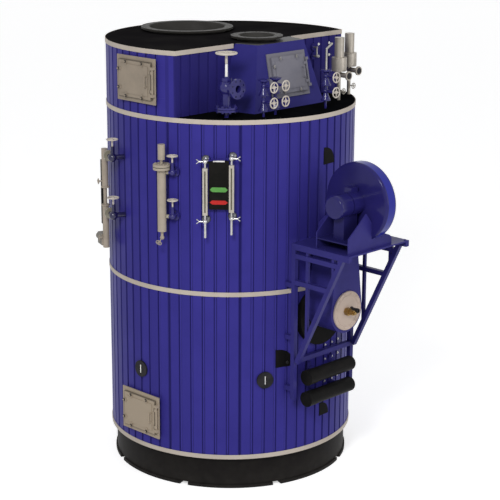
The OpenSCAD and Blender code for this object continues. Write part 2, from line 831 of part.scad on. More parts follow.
// Main steam valve: stub, flange pair, round body, side outlet, bonnet and gland
main_at = polar(crest_r - main_in, main_a);
main_stub_r = 22;
main_flange_up = 60;
main_flange_r = 105;
main_flange_t = 18;
main_gasket = 4;
main_neck_r = 40;
main_body_up = 274;
main_body_r = 72;
main_bonnet_r = 52;
main_bonnet_t = 30;
main_gland_r = 24;
main_gland_tip = 18;
main_gland_len = 130;
main_gland_gap = 10;
main_gland_up = main_body_up + main_body_r + main_gland_gap;
main_stem_r = stem_r + 4;
main_stem_out = 93;
main_wheel_up = main_gland_up + main_gland_len + main_stem_out;
outlet_reach = 149;
outlet_neck_r = 50;
outlet_r = 92.5;
outlet_t = 20;
outlet_pcd = 145;
outlet_bolts = 8;
outlet_bore = 33;
outlet_depth = 60;
module main_outlet() {
    difference() {
        union() {
            out_rod(outlet_neck_r, outlet_reach);
            translate([0, -outlet_reach + outlet_t, 0]) out_rod(outlet_r, outlet_t);
        }
        translate([0, -outlet_reach + outlet_depth, 0]) out_rod(outlet_bore, outlet_depth + 1);
        for (i = [0 : outlet_bolts - 1]) rotate([0, (i + 0.5) * 360 / outlet_bolts, 0])
            translate([outlet_pcd / 2, -outlet_reach + outlet_t + 1, 0]) out_rod(bolt_hole_r, outlet_t + 2);
    }
}
module main_steam_valve() {
    color("#2c2b9a") translate([main_at[0], main_at[1], deck_top]) {
        cylinder(r = main_stub_r, h = main_flange_up + 1);
        for (i = [0, 1]) translate([0, 0, main_flange_up + i * (main_flange_t + main_gasket)])
            cylinder(r = main_flange_r, h = main_flange_t);
        translate([0, 0, main_flange_up + 1]) cylinder(r = main_neck_r, h = main_body_up - main_flange_up);
        difference() {
            translate([0, 0, main_body_up]) sphere(r = main_body_r);
            translate([0, 0, main_body_up]) translate([0, -outlet_reach + outlet_depth, 0])
                out_rod(outlet_bore, outlet_depth);
        }
        translate([0, 0, main_body_up]) main_outlet();
        translate([0, 0, main_body_up + main_body_r - main_bonnet_t / 2])
            cylinder(r = main_bonnet_r, h = main_bonnet_t);
        translate([0, 0, main_gland_up]) difference() {
            union() {
                cylinder(r1 = main_gland_r, r2 = main_gland_tip, h = main_gland_len);
                sphere(r = main_gland_r + run_gap);
            }
            translate([0, 0, main_gland_len - gland_bore])
                cylinder(r = main_stem_r + run_gap, h = gland_bore + 1);
        }
    }
}

// A stack of two small valves on a thin nozzle, handwheels towards the front
stack_valves = [139, 279];
stack_drop = 86;
stack_flange_r = 46;
stack_flange_t = 12;
stack_neck_r = 18;
stack_stub_r = 12;
stack_ball_r = 25;
stack_top_up = 60;
stack_top_r = 54;
stack_top_t = 12;
stack_gland_r = 13;
stack_stem_out = 40;
stack_gland_len = wheel_reach - stack_stem_out;
stack_taper = 4;
stack_neck_in = 12;
stack_throat = 20;
stack_crown = 26;
module valve_stack(at, lift) {
    pitch_z = stack_valves[1] - stack_valves[0];
    translate([at[0], at[1], deck_top]) {
        cylinder(r = stack_stub_r, h = lift + stack_valves[0]);
        for (z = stack_valves) translate([0, 0, lift + z]) {
            translate([0, 0, -stack_drop]) cylinder(r = stack_flange_r, h = stack_flange_t);
            translate([0, 0, stack_flange_t - stack_drop - 1]) cylinder(r1 = stack_flange_r - stack_taper,
                r2 = stack_neck_r, h = stack_drop - stack_flange_t - stack_neck_in);
            translate([0, 0, -stack_throat])
                cylinder(r = stack_neck_r, h = stack_throat + 1 + pitch_z - stack_drop);
            sphere(r = stack_ball_r);
            rotate([90, 0, 0]) gland(stack_gland_r, stack_gland_len, stem_r);
        }
        translate([0, 0, lift + stack_valves[1] + stack_crown]) cylinder(r1 = stack_neck_r,
            r2 = stack_top_r - stack_taper, h = stack_top_up - stack_top_t - stack_crown + 1);
        translate([0, 0, lift + stack_valves[1] + stack_top_up - stack_top_t])
            cylinder(r = stack_top_r, h = stack_top_t);
    }
}
// A stack stands at x, a share of the way from the hood's foot to the deck's edge
hood_front = chord_y + seam + hood_foot_out;
function before_hood(x, share) = [x, -hood_front - share * (clad_y(x) - hood_front)];
mid_at = [before_hood(-510, 0.487), before_hood(-353, 0.395)];
right_at = before_hood(225, 0.605);
right_lift = 22;
module mid_valve_stacks() {
    color("#2c2b9a") for (p = mid_at) valve_stack(p, 0);
}
module right_valve_stack() {
    color("#2c2b9a") valve_stack(right_at, right_lift);
}

// Safety valves: a thin inlet, a round body with a low side outlet, and a long bonnet
safety_a = [39.7, 56.3];
safety_in = [161, 23];
safety_at = [for (i = [0, 1]) polar(crest_r - safety_in[i], safety_a[i])];
safety_drain_up = 90;
safety_drain_out = 62;
safety_stem_r = 18;
safety_body_up = 279;
safety_body_r = 72;
safety_body_h = 130;
safety_bonnet_r = 46;
safety_bonnet_h = 190;
safety_outlet_r = 24;
safety_outlet_out = 128;
safety_outlet_drop = 36;
safety_flange_r = 44;
safety_flange_t = 14;
module safety_valves() {
    color("#cfc8b8") for (p = safety_at) translate([p[0], p[1], deck_top]) {
        cylinder(r = safety_stem_r, h = safety_body_up + 1);
        translate([0, 0, safety_body_up]) cylinder(r = safety_body_r, h = safety_body_h);
        translate([0, 0, safety_body_up + safety_body_h - 1])
            cylinder(r = safety_bonnet_r, h = safety_bonnet_h);
        translate([0, 0, safety_body_up - safety_outlet_drop]) {
            sphere(r = safety_outlet_r);
            cylinder(r = safety_outlet_r, h = safety_outlet_drop + 1);
            out_rod(safety_outlet_r, safety_outlet_out);
            translate([0, -safety_outlet_out + safety_flange_t, 0]) out_rod(safety_flange_r, safety_flange_t);
        }
        translate([0, -safety_drain_out, safety_drain_up]) rotate([90, 0, 0])
            handwheel(small_wheel_r, small_rim, small_stem, safety_drain_out, 4);
    }
}

// Tubes: one with bolted pads on the house's front wall, and one bent over the right stack
tube_r = 9;
tube_pad = 34;
tube_out = 60;
tube_x = 705;
tube_pad_t = 10;
tube_drop = [199, 113];
tube_z = [for (d = tube_drop) roof_z - d];
vent_z = deck_top + right_lift + stack_valves[1] + stack_top_up + seat;
vent_rise = 190;
vent_run = 90;
vent_turn = 60;
module siphon_tubes() {
    color("#9a9aa0") {
        translate([tube_x, -chord_y - seat, 0]) {
            for (z = tube_z) translate([0, 0, z]) {
                out_rod(tube_r, tube_out);
                out_rod(tube_pad, tube_pad_t);
            }
            translate([0, -tube_out + tube_r, tube_z[0] - tube_r])
                cylinder(r = tube_r, h = tube_z[1] - tube_z[0] + 2 * tube_r);
        }
        translate([right_at[0], right_at[1], vent_z]) {
            cylinder(r = tube_r, h = vent_rise);
            translate([0, 0, vent_rise]) sphere(r = tube_r);
            translate([0, 0, vent_rise]) rotate([0, vent_turn, 0]) cylinder(r = tube_r, h = vent_run);
        }
    }
}

// Burner frame: bars in two side planes, a crossbar, and uprights that carry the heaters
post_out = 30;
post_y = shell_r + post_out;
post_drop = 847;
post_foot = burner_z - post_drop;
frame_drop = 477;
frame_low = burner_z - frame_drop;
diag_top_out = 610;
rung_up = [298, 550];
rung_z = [for (up = rung_up) burner_z + up];
standoff_up = [-747, -247, 263];
standoff_z = [for (up = standoff_up) burner_z + up];
brace_w = 28;
brace_out = [190, 500];
platform_t = 14;
chord_z = platform_z - platform_t - bar_w / 2;
diag_low = [-post_y - bar_w, frame_low];
diag_high = [-shell_r - diag_top_out, chord_z];
diag_slope = (diag_high[0] - diag_low[0]) / (chord_z - frame_low);
function diag_at(z) = diag_low[0] + diag_slope * (z - frame_low);
function diag_up(y) = frame_low + (y - diag_low[0]) / diag_slope;
module post(extra) {
    bar([-post_y, post_foot], [-post_y, platform_z - platform_t], bar_w + extra);
}
module top_chord(extra) {
    bar([-post_y - bar_w / 2 - seat, chord_z], [-platform_y, chord_z], bar_w + extra);
}
module diagonal(extra) {
    bar(diag_low, diag_high, bar_w + extra);
}
module side_frame() {
    post(0);
    for (z = standoff_z) translate([-bar_w / 2, -post_y + bar_w / 2 + seat, z - bar_w / 2])
        cube([bar_w, post_y - bar_w / 2 - seat - clad_gap - clad_y(frame_half - bar_w / 2), bar_w]);
    top_chord(0);
    difference() {
        diagonal(0);
        post(2 * seat);
        top_chord(2 * seat);
    }
    for (z = rung_z) difference() {
        rung(z, 0);
        diagonal(2 * seat);
    }
    for (out = brace_out) difference() {
        bar([-shell_r - out, diag_up(-shell_r - out)], [-shell_r - out, chord_z], brace_w);
        diagonal(2 * seat);
        top_chord(2 * seat);
        for (z = rung_z) rung(z, 2 * seat);
    }
}
module rung(z, extra) {
    bar([-post_y - bar_w / 2 - seat, z], [diag_at(z), z], bar_w + extra);
}
module burner_frame() {
    color("#2b2a92") {
        for (s = [-1, 1]) translate([s * frame_half, 0, 0]) side_frame();
        translate([-frame_half + bar_w / 2 + seat, -post_y - bar_w / 2, frame_low - bar_w / 2])
            cube([2 * frame_half - bar_w - 2 * seat, bar_w, bar_w]);
        for (s = [-1, 1]) translate([s * upright_x, 0, 0]) heater_upright();
    }
}

// An upright on the cladding with a saddle for each heater
upright_x = 150;
upright_w = 50;
upright_t = 14;
upright_over = 90;
saddle_h = 80;
heater_out = 120;
heater_y = shell_r + heater_out;
heater_drop = [850, 637];
heater_z = [for (d = heater_drop) burner_z - d];
heater_cap = 96;
heater_cap_out = 3;
heater_round = 24;
upright_y = clad_y(upright_x - upright_w / 2) + clad_gap;
module heater_upright() {
    difference() {
        union() {
            translate([-upright_w / 2, -upright_y - upright_t, heater_z[0] - upright_over])
                cube([upright_w, upright_t, heater_z[1] - heater_z[0] + 2 * upright_over]);
            for (z = heater_z) translate([-upright_w / 2, -heater_y, z - saddle_h / 2])
                cube([upright_w, heater_y - upright_y, saddle_h]);
        }
        heater_rods(seat);
    }
}
module heater_rods(extra) {
    for (z = heater_z) translate([-heater_len / 2, -heater_y, z]) rotate([0, 90, 0])
        cylinder(r = heater_r + extra, h = heater_len);
}

module fan_platform() {
    color("#2b2a92") translate([-frame_half - bar_w / 2, -platform_y, platform_z - platform_t])
        cube([2 * frame_half + bar_w, platform_y - post_y + bar_w / 2, platform_t]);
}

// Fan: a round scroll with rounded edges, its motor on a collar, the stool and the air duct
fan_round = 26;
motor_round = 26;
motor_groove = 10;
motor_joint = 142;
motor_joint_w = 10;
terminal = [92, 78, 54];
terminal_at = 24;
terminal_in = 12;
module along_fan(turn) {
    translate([turn * fan_w / 2, -fan_y, fan_z]) rotate([0, turn * 90, 0]) children();
}
module fan_disc(extra) {
    along_fan(-1) translate([0, 0, -fan_w - extra]) cylinder(r = fan_r + extra, h = fan_w + 2 * extra);
}
// Half section of a round body of radius r and length len, with one rounded end
module round_end(r, len, round) {
    square([r, len - round]);
    square([r - round, len]);
    translate([r - round, len - round]) circle(r = round);
}
module fan_housing() {
    color("#2c2b9a") {
        along_fan(-1) translate([0, 0, -fan_w / 2]) rotate_extrude() round_end(fan_r, fan_w / 2, fan_round);
        along_fan(1) translate([0, 0, -fan_w / 2]) rotate_extrude() round_end(fan_r, fan_w / 2, fan_round);
    }
}
module fan_motor() {
    color("#2c2b9a") {
        along_fan(-1) difference() {
            rotate_extrude() round_end(motor_r, motor_len, motor_round);
            translate([0, 0, motor_joint]) difference() {
                cylinder(r = 2 * motor_r, h = motor_joint_w);
                translate([0, 0, -1]) cylinder(r = motor_r - motor_groove, h = motor_joint_w + 2);
            }
        }
        translate([-fan_w / 2 - terminal_at - terminal[0], -fan_y - terminal[1] / 2,
                   fan_z + motor_r - terminal_in]) cube(terminal);
    }
}
stool_half = 187;
stool_t = 12;
stool_left = 385;
stool_side_h = 146;
stool_peak = [-150, 338];
stool_dip = [11, 152];
stool_right = 215;
stool_end_h = 95;
stool_round = 60;
shelf_up = 86;
shelf_len = 300;
pedestal = [180, 120];
pedestal_at = 120;
module stool_plate() {
    corner = [stool_right - stool_round, stool_end_h - stool_round];
    polygon(concat([[-stool_left, 0], [-stool_left, stool_side_h], stool_peak, stool_dip],
                   [for (a = [75 : -15 : 0]) corner + stool_round * [cos(a), sin(a)]], [[stool_right, 0]]));
}
module fan_stool() {
    color("#3130a0") difference() {
        translate([0, -fan_y, platform_z]) {
            for (s = [-1, 1]) translate([0, s * stool_half, 0]) rotate([90, 0, 0])
                translate([0, 0, -stool_t / 2]) linear_extrude(stool_t) stool_plate();
            translate([-stool_left, -stool_half, shelf_up]) cube([shelf_len, 2 * stool_half, stool_t]);
            translate([-pedestal_at - pedestal[0], -pedestal[1] / 2, shelf_up])
                cube([pedestal[0], pedestal[1], fan_z - platform_z - shelf_up]);
        }
        fan_disc(seat);
        along_fan(-1) cylinder(r = motor_r + seat, h = 2 * motor_len);
    }
}
duct_side = 40;
duct_front = 200;
duct_mid = 330;
duct_top = 226;
duct_end_h = 146;
duct_gap = 20;
module air_duct() {
    end_y = fan_y - post_y - duct_gap;
    color("#25247c") difference() {
        translate([fan_w / 2 + duct_side, -fan_y, platform_z]) rotate([0, -90, 0])
            linear_extrude(fan_w + 2 * duct_side)
                polygon([[0, duct_front], [duct_top, duct_front], [duct_top, duct_mid],
                         [duct_end_h, end_y], [0, end_y]]);
        fan_disc(seat);
    }
}

// Windbox: a round drum round the burner that narrows to a neck under the platform
front_t = 14;
front_in = 29;
front_r = windbox_r - front_in;
bead_r = 4;
bead_in = 40;
neck_half = 130;
neck_rise = platform_z - platform_t - burner_z;
neck_dist = norm([neck_half, neck_rise]);
touch_a = atan2(neck_rise, neck_half) - acos(windbox_r / neck_dist);
module windbox() {
    color("#2b2a92") translate([0, -throat_y - seat, burner_z]) rotate([90, 0, 0])
        linear_extrude(burner_y - front_t - throat_y - seat) {
            circle(r = windbox_r);
            polygon([windbox_r * [cos(touch_a), sin(touch_a)], [neck_half, neck_rise],
                     [-neck_half, neck_rise], windbox_r * [-cos(touch_a), sin(touch_a)], [0, 0]]);
        }
}
module burner_throat() {
    color("#0c0c0e") translate([0, -inner_r + throat_in - seam, throat_z])
        out_rod(throat_r, throat_y - inner_r + throat_in - seam);
}
module burner_front() {
    color("#e2d9cb") translate([0, -burner_y, burner_z]) {
        translate([0, front_t, 0]) out_rod(front_r, front_t);
        for (r = [front_r - bead_in, front_r - bead_r]) rotate([90, 0, 0]) rotate_extrude()
            translate([r, 0]) circle(r = bead_r);
    }
}
lance_x = -20;
lance_nut_r = 38;
lance_nut_len = 42;
lance_r = 24;
lance_len = 90;
lance_tip_r = 14;
lance_tip_len = 112;
module burner_lance() {
    color("#b08d3c") translate([lance_x, -burner_y - seat, burner_z]) {
        rotate([90, 0, 0]) cylinder(r = lance_nut_r, h = lance_nut_len, $fn = 6);
        out_rod(lance_r, lance_len);
        out_rod(lance_tip_r, lance_tip_len);
    }
}
module oil_heaters() {
    color("#26262a") for (z = heater_z) translate([-heater_len / 2, -heater_y, z]) rotate([0, 90, 0])
        rotate_extrude() {
            round_end(heater_r, heater_len, heater_round);
            square([heater_r + heater_cap_out, heater_cap]);
        }
}

// Handwheels, each in its place, with a stem that ends in its gland
main_rim = 9;
wheel_rim = 6;
module main_wheel() {
    color("#d8d4c8") translate([main_at[0], main_at[1], deck_top + main_wheel_up])
        handwheel(main_wheel_r, main_rim, main_stem_r, main_stem_out + stem_in, 5);
}
module stack_wheel(at, lift, k) {
    color("#d8d4c8") translate([at[0], at[1] - wheel_reach, deck_top + lift + stack_valves[k]])
        rotate([90, 0, 0]) handwheel(wheel_r, wheel_rim, stem_r, stack_stem_out + stem_in, 4);
}
module column_wheel(z) {
    color("#d8d4c8") at_angle(column_a, clad_r + valve_out, z) translate([valve_side, 0, side_wheel_up])
        handwheel(wheel_r, wheel_rim, stem_r, side_wheel_up - side_gland_len + stem_in, 4);
}
module left_wheel(up) {
    color("#d8d4c8") at_angle(left_a, clad_r + gauge_out, left_low + up)
        translate([left_side, 0, left_wheel_up]) handwheel(wheel_r + left_wheel_more, wheel_rim, stem_r,
            left_wheel_up - left_gland_len + stem_in, 4);
}

base_ring();
skirt();
bottom_plate();
lower_shell();
upper_shell();
deck_plate();
house_wall();
roof_plate();
cladding_bands();
smoke_hood();
exhaust_uptake();
furnace_uptake();
door_frames();
house_door();
lower_door();
hood_door();
inspection_plugs();
cladding_ports();
front_gauge_board();
front_gauge_glasses();
front_gauge_cocks();
level_column();
level_column_valves();
left_column();
left_indicator();
left_valves();
main_steam_valve();
mid_valve_stacks();
right_valve_stack();
safety_valves();
siphon_tubes();
burner_frame();
fan_platform();
fan_stool();
fan_housing();
fan_motor();
air_duct();
windbox();
burner_throat();
burner_front();
burner_lance();
oil_heaters();
main_wheel();
stack_wheel(mid_at[0], 0, 0);  // mid_wheel_1
stack_wheel(mid_at[0], 0, 1);  // mid_wheel_2
stack_wheel(mid_at[1], 0, 0);  // mid_wheel_3
stack_wheel(mid_at[1], 0, 1);  // mid_wheel_4
stack_wheel(right_at, right_lift, 0);  // right_wheel_1
stack_wheel(right_at, right_lift, 1);  // right_wheel_2
column_wheel(column_valve_z[0]);  // column_wheel_1
column_wheel(column_valve_z[1]);  // column_wheel_2
left_wheel(left_valve_up[0]);  // left_wheel_1
left_wheel(left_valve_up[1]);  // left_wheel_2
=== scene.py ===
# %% [markdown]
# # A vertical marine boiler
# The boiler is a tall drum in ribbed blue cladding, with a D-shaped smoke house on its deck, gauges and
# valves round it, and an oil burner with its fan on a bracket frame. The imported CAD model brings every
# solid in its real place. This lesson sets the camera and the light, gives each solid its finish, and adds
# what the CAD leaves out: bolts, nuts, sight glasses, the plain coloured plates of the gauge, a thin foot
# flange, black sheets of painted shade over the ports and sleeves in the uptakes. Some finishes carry
# painted light and shade.

# %% Load the imported model
import json
import math

import bmesh
import bpy
import numpy as np
from mathutils import Matrix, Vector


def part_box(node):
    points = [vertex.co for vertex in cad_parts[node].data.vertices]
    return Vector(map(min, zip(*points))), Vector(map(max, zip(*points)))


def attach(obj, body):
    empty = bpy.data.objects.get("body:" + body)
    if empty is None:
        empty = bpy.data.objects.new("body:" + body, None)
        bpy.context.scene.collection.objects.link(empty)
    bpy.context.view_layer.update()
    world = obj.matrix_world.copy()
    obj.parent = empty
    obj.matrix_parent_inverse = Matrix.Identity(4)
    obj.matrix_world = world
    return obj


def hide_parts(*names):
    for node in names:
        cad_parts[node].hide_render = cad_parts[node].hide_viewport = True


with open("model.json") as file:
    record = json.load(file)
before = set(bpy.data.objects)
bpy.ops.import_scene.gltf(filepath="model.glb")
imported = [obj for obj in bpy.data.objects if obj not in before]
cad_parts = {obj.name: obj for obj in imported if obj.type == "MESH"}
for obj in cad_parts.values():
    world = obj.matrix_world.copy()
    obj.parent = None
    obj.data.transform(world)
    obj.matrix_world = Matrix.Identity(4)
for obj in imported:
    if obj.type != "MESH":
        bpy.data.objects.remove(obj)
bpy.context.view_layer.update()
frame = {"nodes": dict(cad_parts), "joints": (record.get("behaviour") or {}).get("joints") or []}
nodes = frame["nodes"]

# %% [markdown]
# ## Where the viewer stands
# The photo looks down on the boiler from about a storey higher, at the corner between the doors and the
# burner. A camera is a point, three directions and a focal length. The three directions are worked out
# from the pitch, yaw and roll, then turned by an eighth of a turn into the boiler's own frame.

# %% Camera
photo_px = 500.0
focal_px = 1540.2
viewer_at = (-10.3966, -10.3966, 6.0544)
pitch, yaw, roll = np.radians([15.30, 0.74, 0.29])
forward = np.array([np.sin(yaw) * np.cos(pitch), np.cos(yaw) * np.cos(pitch), -np.sin(pitch)])
level = np.array([np.cos(yaw), -np.sin(yaw), 0.0])
upright = np.cross(level, forward)
right_dir = level * np.cos(roll) + upright * np.sin(roll)
up_dir = upright * np.cos(roll) - level * np.sin(roll)
eighth = np.array([[1.0, 1.0, 0.0], [-1.0, 1.0, 0.0], [0.0, 0.0, math.sqrt(2.0)]]) / math.sqrt(2.0)
viewer = np.eye(4)
viewer[:3, 0] = eighth @ right_dir
viewer[:3, 1] = eighth @ up_dir
viewer[:3, 2] = -(eighth @ forward)
viewer[:3, 3] = viewer_at
lens = bpy.data.cameras.new("viewer")
lens.sensor_width = 36.0
lens.lens = focal_px / photo_px * lens.sensor_width
lens.clip_end = 100.0
camera = bpy.data.objects.new("viewer", lens)
bpy.context.scene.collection.objects.link(camera)
camera.matrix_world = Matrix(viewer.tolist())
bpy.context.scene.camera = camera
print("lens", round(lens.lens, 1), "mm")

# %% [markdown]
# ## Studio
# The photo is a product picture on white: light comes from all around, a little more from the viewer's
# left. The world is plain grey light for the surfaces, and pure white where the camera, a reflection or
# clear glass looks at it. The floor is pale and glows a little for the same rays, so that it reads as white
# paper and still takes the soft shadow of the foot ring.

# %% World, lamps and floor
scene = bpy.context.scene
scene.view_settings.view_transform = "Standard"


def seen_by_eye(tree):
    """A socket that is 1 for rays of the camera, of a reflection or through glass, and 0 for light."""
    path = tree.nodes.new("ShaderNodeLightPath")
    first = tree.nodes.new("ShaderNodeMath")
    first.operation = "MAXIMUM"
    both = tree.nodes.new("ShaderNodeMath")
    both.operation = "MAXIMUM"
    tree.links.new(path.outputs["Is Camera Ray"], first.inputs[0])
    tree.links.new(path.outputs["Is Glossy Ray"], first.inputs[1])
    tree.links.new(first.outputs[0], both.inputs[0])
    tree.links.new(path.outputs["Is Transmission Ray"], both.inputs[1])
    return both.outputs[0]


world = bpy.data.worlds.new("studio")
scene.world = world
world.use_nodes = True
wn = world.node_tree.nodes
wl = world.node_tree.links
wn.clear()
w_out = wn.new("ShaderNodeOutputWorld")
w_fill = wn.new("ShaderNodeBackground")
w_fill.inputs["Color"].default_value = (0.98, 0.985, 1.0, 1.0)
w_fill.inputs["Strength"].default_value = 0.46
w_white = wn.new("ShaderNodeBackground")
w_white.inputs["Color"].default_value = (1.0, 1.0, 1.0, 1.0)
w_white.inputs["Strength"].default_value = 1.0
w_mix = wn.new("ShaderNodeMixShader")
wl.new(seen_by_eye(world.node_tree), w_mix.inputs["Fac"])
wl.new(w_fill.outputs[0], w_mix.inputs[1])
wl.new(w_white.outputs[0], w_mix.inputs[2])
wl.new(w_mix.outputs[0], w_out.inputs["Surface"])


def area_lamp(name, at, look, size, watts):
    """A square lamp at a point, turned so that its -Z looks at another point."""
    data = bpy.data.lights.new(name, "AREA")
    data.size = size
    data.energy = watts
    lamp = bpy.data.objects.new(name, data)
    scene.collection.objects.link(lamp)
    z = np.array(at, float) - np.array(look, float)
    z /= np.linalg.norm(z)
    x = np.cross((0.0, 0.0, 1.0), z)
    x /= np.linalg.norm(x)
    m = np.eye(4)
    m[:3, 0] = x
    m[:3, 1] = np.cross(z, x)
    m[:3, 2] = z
    m[:3, 3] = at
    lamp.matrix_world = Matrix(m.tolist())
    return lamp


area_lamp("key", at=(-9.0, -6.0, 9.0), look=(0.0, 0.0, 2.2), size=2.4, watts=720.0)
area_lamp("fill", at=(2.0, -10.0, 5.0), look=(0.0, 0.0, 2.0), size=6.0, watts=230.0)

floor_half = 40.0
floor_corners = [(floor_half * x, floor_half * y, 0.0) for x, y in ((-1, -1), (1, -1), (1, 1), (-1, 1))]
floor_mesh = bpy.data.meshes.new("floor")
floor_mesh.from_pydata(floor_corners, [], [(0, 1, 2, 3)])
floor = bpy.data.objects.new("floor", floor_mesh)
scene.collection.objects.link(floor)
floor_finish = bpy.data.materials.new("pale_floor")
floor_finish.use_nodes = True
fn = floor_finish.node_tree.nodes
fl = floor_finish.node_tree.links
floor_shader = fn["Principled BSDF"]
floor_shader.inputs["Base Color"].default_value = (0.88, 0.88, 0.88, 1.0)
floor_shader.inputs["Roughness"].default_value = 0.7
f_glow = fn.new("ShaderNodeEmission")
f_glow.inputs["Color"].default_value = (1.0, 1.0, 1.0, 1.0)
f_gain = fn.new("ShaderNodeMath")
f_gain.operation = "MULTIPLY"
f_gain.inputs[1].default_value = 0.52
f_add = fn.new("ShaderNodeAddShader")
fl.new(seen_by_eye(floor_finish.node_tree), f_gain.inputs[0])
fl.new(f_gain.outputs[0], f_glow.inputs["Strength"])
fl.new(floor_shader.outputs[0], f_add.inputs[0])
fl.new(f_glow.outputs[0], f_add.inputs[1])
fl.new(f_add.outputs[0], fn["Material Output"].inputs["Surface"])
floor_mesh.materials.append(floor_finish)
print("studio ready")

# %% [markdown]
# ## Shared surface effects
# Real paint is never one flat colour. It has slow clouds of lighter and darker tone, a fine skin that
# breaks up the gloss, and dust that gathers low down. These effects are shared, so each is a node group
# with named sockets, placed in a finish with its own values.

# %% Node groups
NUMBER = "NodeSocketFloat"
COLOUR = "NodeSocketColor"
VECTOR = "NodeSocketVector"


def new_group(name, inputs, outputs):
    """An empty shader group with float, colour or vector sockets, given as (name, type, default)."""
    group = bpy.data.node_groups.new(name, "ShaderNodeTree")
    for label, kind, value in inputs:
        socket = group.interface.new_socket(label, in_out="INPUT", socket_type=kind)
        socket.default_value = value
    for label, kind in outputs:
        group.interface.new_socket(label, in_out="OUTPUT", socket_type=kind)
    return group, group.nodes.new("NodeGroupInput"), group.nodes.new("NodeGroupOutput")


def math_node(group, operation, a, b=None, clamp=False):
    """A maths node in a group: each of a and b is a socket to link or a number to set."""
    node = group.nodes.new("ShaderNodeMath")
    node.operation = operation
    node.use_clamp = clamp
    for slot, value in zip(node.inputs, (a, b)):
        if isinstance(value, bpy.types.NodeSocket):
            group.links.new(value, slot)
        elif value is not None:
            slot.default_value = value
    return node.outputs[0]


def smooth_step(group, value, low, high):
    """A socket that rises smoothly from 0 at low to 1 at high."""
    node = group.nodes.new("ShaderNodeMapRange")
    node.interpolation_type = "SMOOTHSTEP"
    node.inputs["From Min"].default_value = low
    node.inputs["From Max"].default_value = high
    group.links.new(value, node.inputs["Value"])
    return node.outputs["Result"]


def place_parts(group):
    """The x, y and z sockets of the object's own coordinates."""
    place = group.nodes.new("ShaderNodeTexCoord")
    parts = group.nodes.new("ShaderNodeSeparateXYZ")
    group.links.new(place.outputs["Object"], parts.inputs[0])
    return parts.outputs["X"], parts.outputs["Y"], parts.outputs["Z"]


def axis_distance(group, x, y):
    """The distance from the drum's axis, from the x and y sockets."""
    square = math_node(group, "ADD", math_node(group, "MULTIPLY", x, x), math_node(group, "MULTIPLY", y, y))
    return math_node(group, "SQRT", square)


def paint_skin_group():
    """Colour runs from paint to shade in clouds, roughness follows them, height is a fine orange peel."""
    group, gin, gout = new_group(
        "paint_skin",
        [("Paint", COLOUR, (0.5, 0.5, 0.5, 1.0)), ("Shade", COLOUR, (0.3, 0.3, 0.3, 1.0)),
         ("Gloss", NUMBER, 0.35), ("Clouds", NUMBER, 2.5), ("Peel", NUMBER, 160.0)],
        [("Color", COLOUR), ("Roughness", NUMBER), ("Height", NUMBER)])
    n = group.nodes
    k = group.links
    place = n.new("ShaderNodeTexCoord")
    clouds = n.new("ShaderNodeTexNoise")
    clouds.inputs["Detail"].default_value = 4.0
    clouds.inputs["Roughness"].default_value = 0.6
    peel = n.new("ShaderNodeTexNoise")
    peel.inputs["Detail"].default_value = 2.0
    blend = n.new("ShaderNodeMix")
    blend.data_type = "RGBA"
    rough = math_node(group, "MULTIPLY", clouds.outputs["Fac"], 0.12)
    k.new(place.outputs["Object"], clouds.inputs["Vector"])
    k.new(place.outputs["Object"], peel.inputs["Vector"])
    k.new(gin.outputs["Clouds"], clouds.inputs["Scale"])
    k.new(gin.outputs["Peel"], peel.inputs["Scale"])
    k.new(smooth_step(group, clouds.outputs["Fac"], 0.35, 0.7), blend.inputs["Factor"])
    k.new(gin.outputs["Paint"], blend.inputs["A"])
    k.new(gin.outputs["Shade"], blend.inputs["B"])
    k.new(blend.outputs["Result"], gout.inputs["Color"])
    k.new(math_node(group, "ADD", rough, gin.outputs["Gloss"]), gout.inputs["Roughness"])
    k.new(peel.outputs["Fac"], gout.inputs["Height"])
    return group


def groove_group():
    """Masks of a groove's wall and floor, and of the round crest, from the depth under the cladding."""
    group, gin, gout = new_group(
        "groove",
        [("Crest", NUMBER, 1.1947), ("Depth", NUMBER, 0.012), ("Front", NUMBER, 9.0)],
        [("Wall", NUMBER), ("Floor", NUMBER), ("Round", NUMBER)])
    x, y, _ = place_parts(group)
    inset = math_node(group, "SUBTRACT", gin.outputs["Crest"], axis_distance(group, x, y))
    front = math_node(group, "ADD", y, gin.outputs["Front"])
    depth = math_node(group, "MINIMUM", inset, front)
    share = math_node(group, "DIVIDE", depth, gin.outputs["Depth"], clamp=True)
    floor_mask = smooth_step(group, share, 0.80, 1.0)
    rise = smooth_step(group, share, 0.05, 0.45)
    group.links.new(math_node(group, "SUBTRACT", rise, floor_mask, clamp=True), gout.inputs["Wall"])
    group.links.new(floor_mask, gout.inputs["Floor"])
    round_share = math_node(group, "DIVIDE", inset, gin.outputs["Depth"], clamp=True)
    crest = math_node(group, "SUBTRACT", 1.0, smooth_step(group, round_share, 0.3, 0.6))
    group.links.new(crest, gout.inputs["Round"])
    return group


def panel_tone_group():
    """One random tone for each cladding panel, partly the sheets' own tone and partly a painted reflection,
    and a mask of the painted shade line along its two edges.
    """
    group, gin, gout = new_group(
        "panel_tone",
        [("Panels", NUMBER, 66.0), ("Start", NUMBER, 0.5)],
        [("Tone", NUMBER), ("Edge", NUMBER)])
    x, y, _ = place_parts(group)
    turn = math_node(group, "DIVIDE", math_node(group, "ARCTAN2", x, y), 2 * math.pi)
    panels = math_node(group, "MULTIPLY", turn, gin.outputs["Panels"])
    count = math_node(group, "ADD", panels, gin.outputs["Start"])
    number = math_node(group, "FLOOR", count)
    off = math_node(group, "ABSOLUTE", math_node(group, "SUBTRACT", math_node(group, "FRACT", count), 0.5))
    group.links.new(smooth_step(group, off, 0.33, 0.36), gout.inputs["Edge"])
    random = group.nodes.new("ShaderNodeTexWhiteNoise")
    random.noise_dimensions = "1D"
    group.links.new(number, random.inputs["W"])
    group.links.new(random.outputs["Value"], gout.inputs["Tone"])
    return group


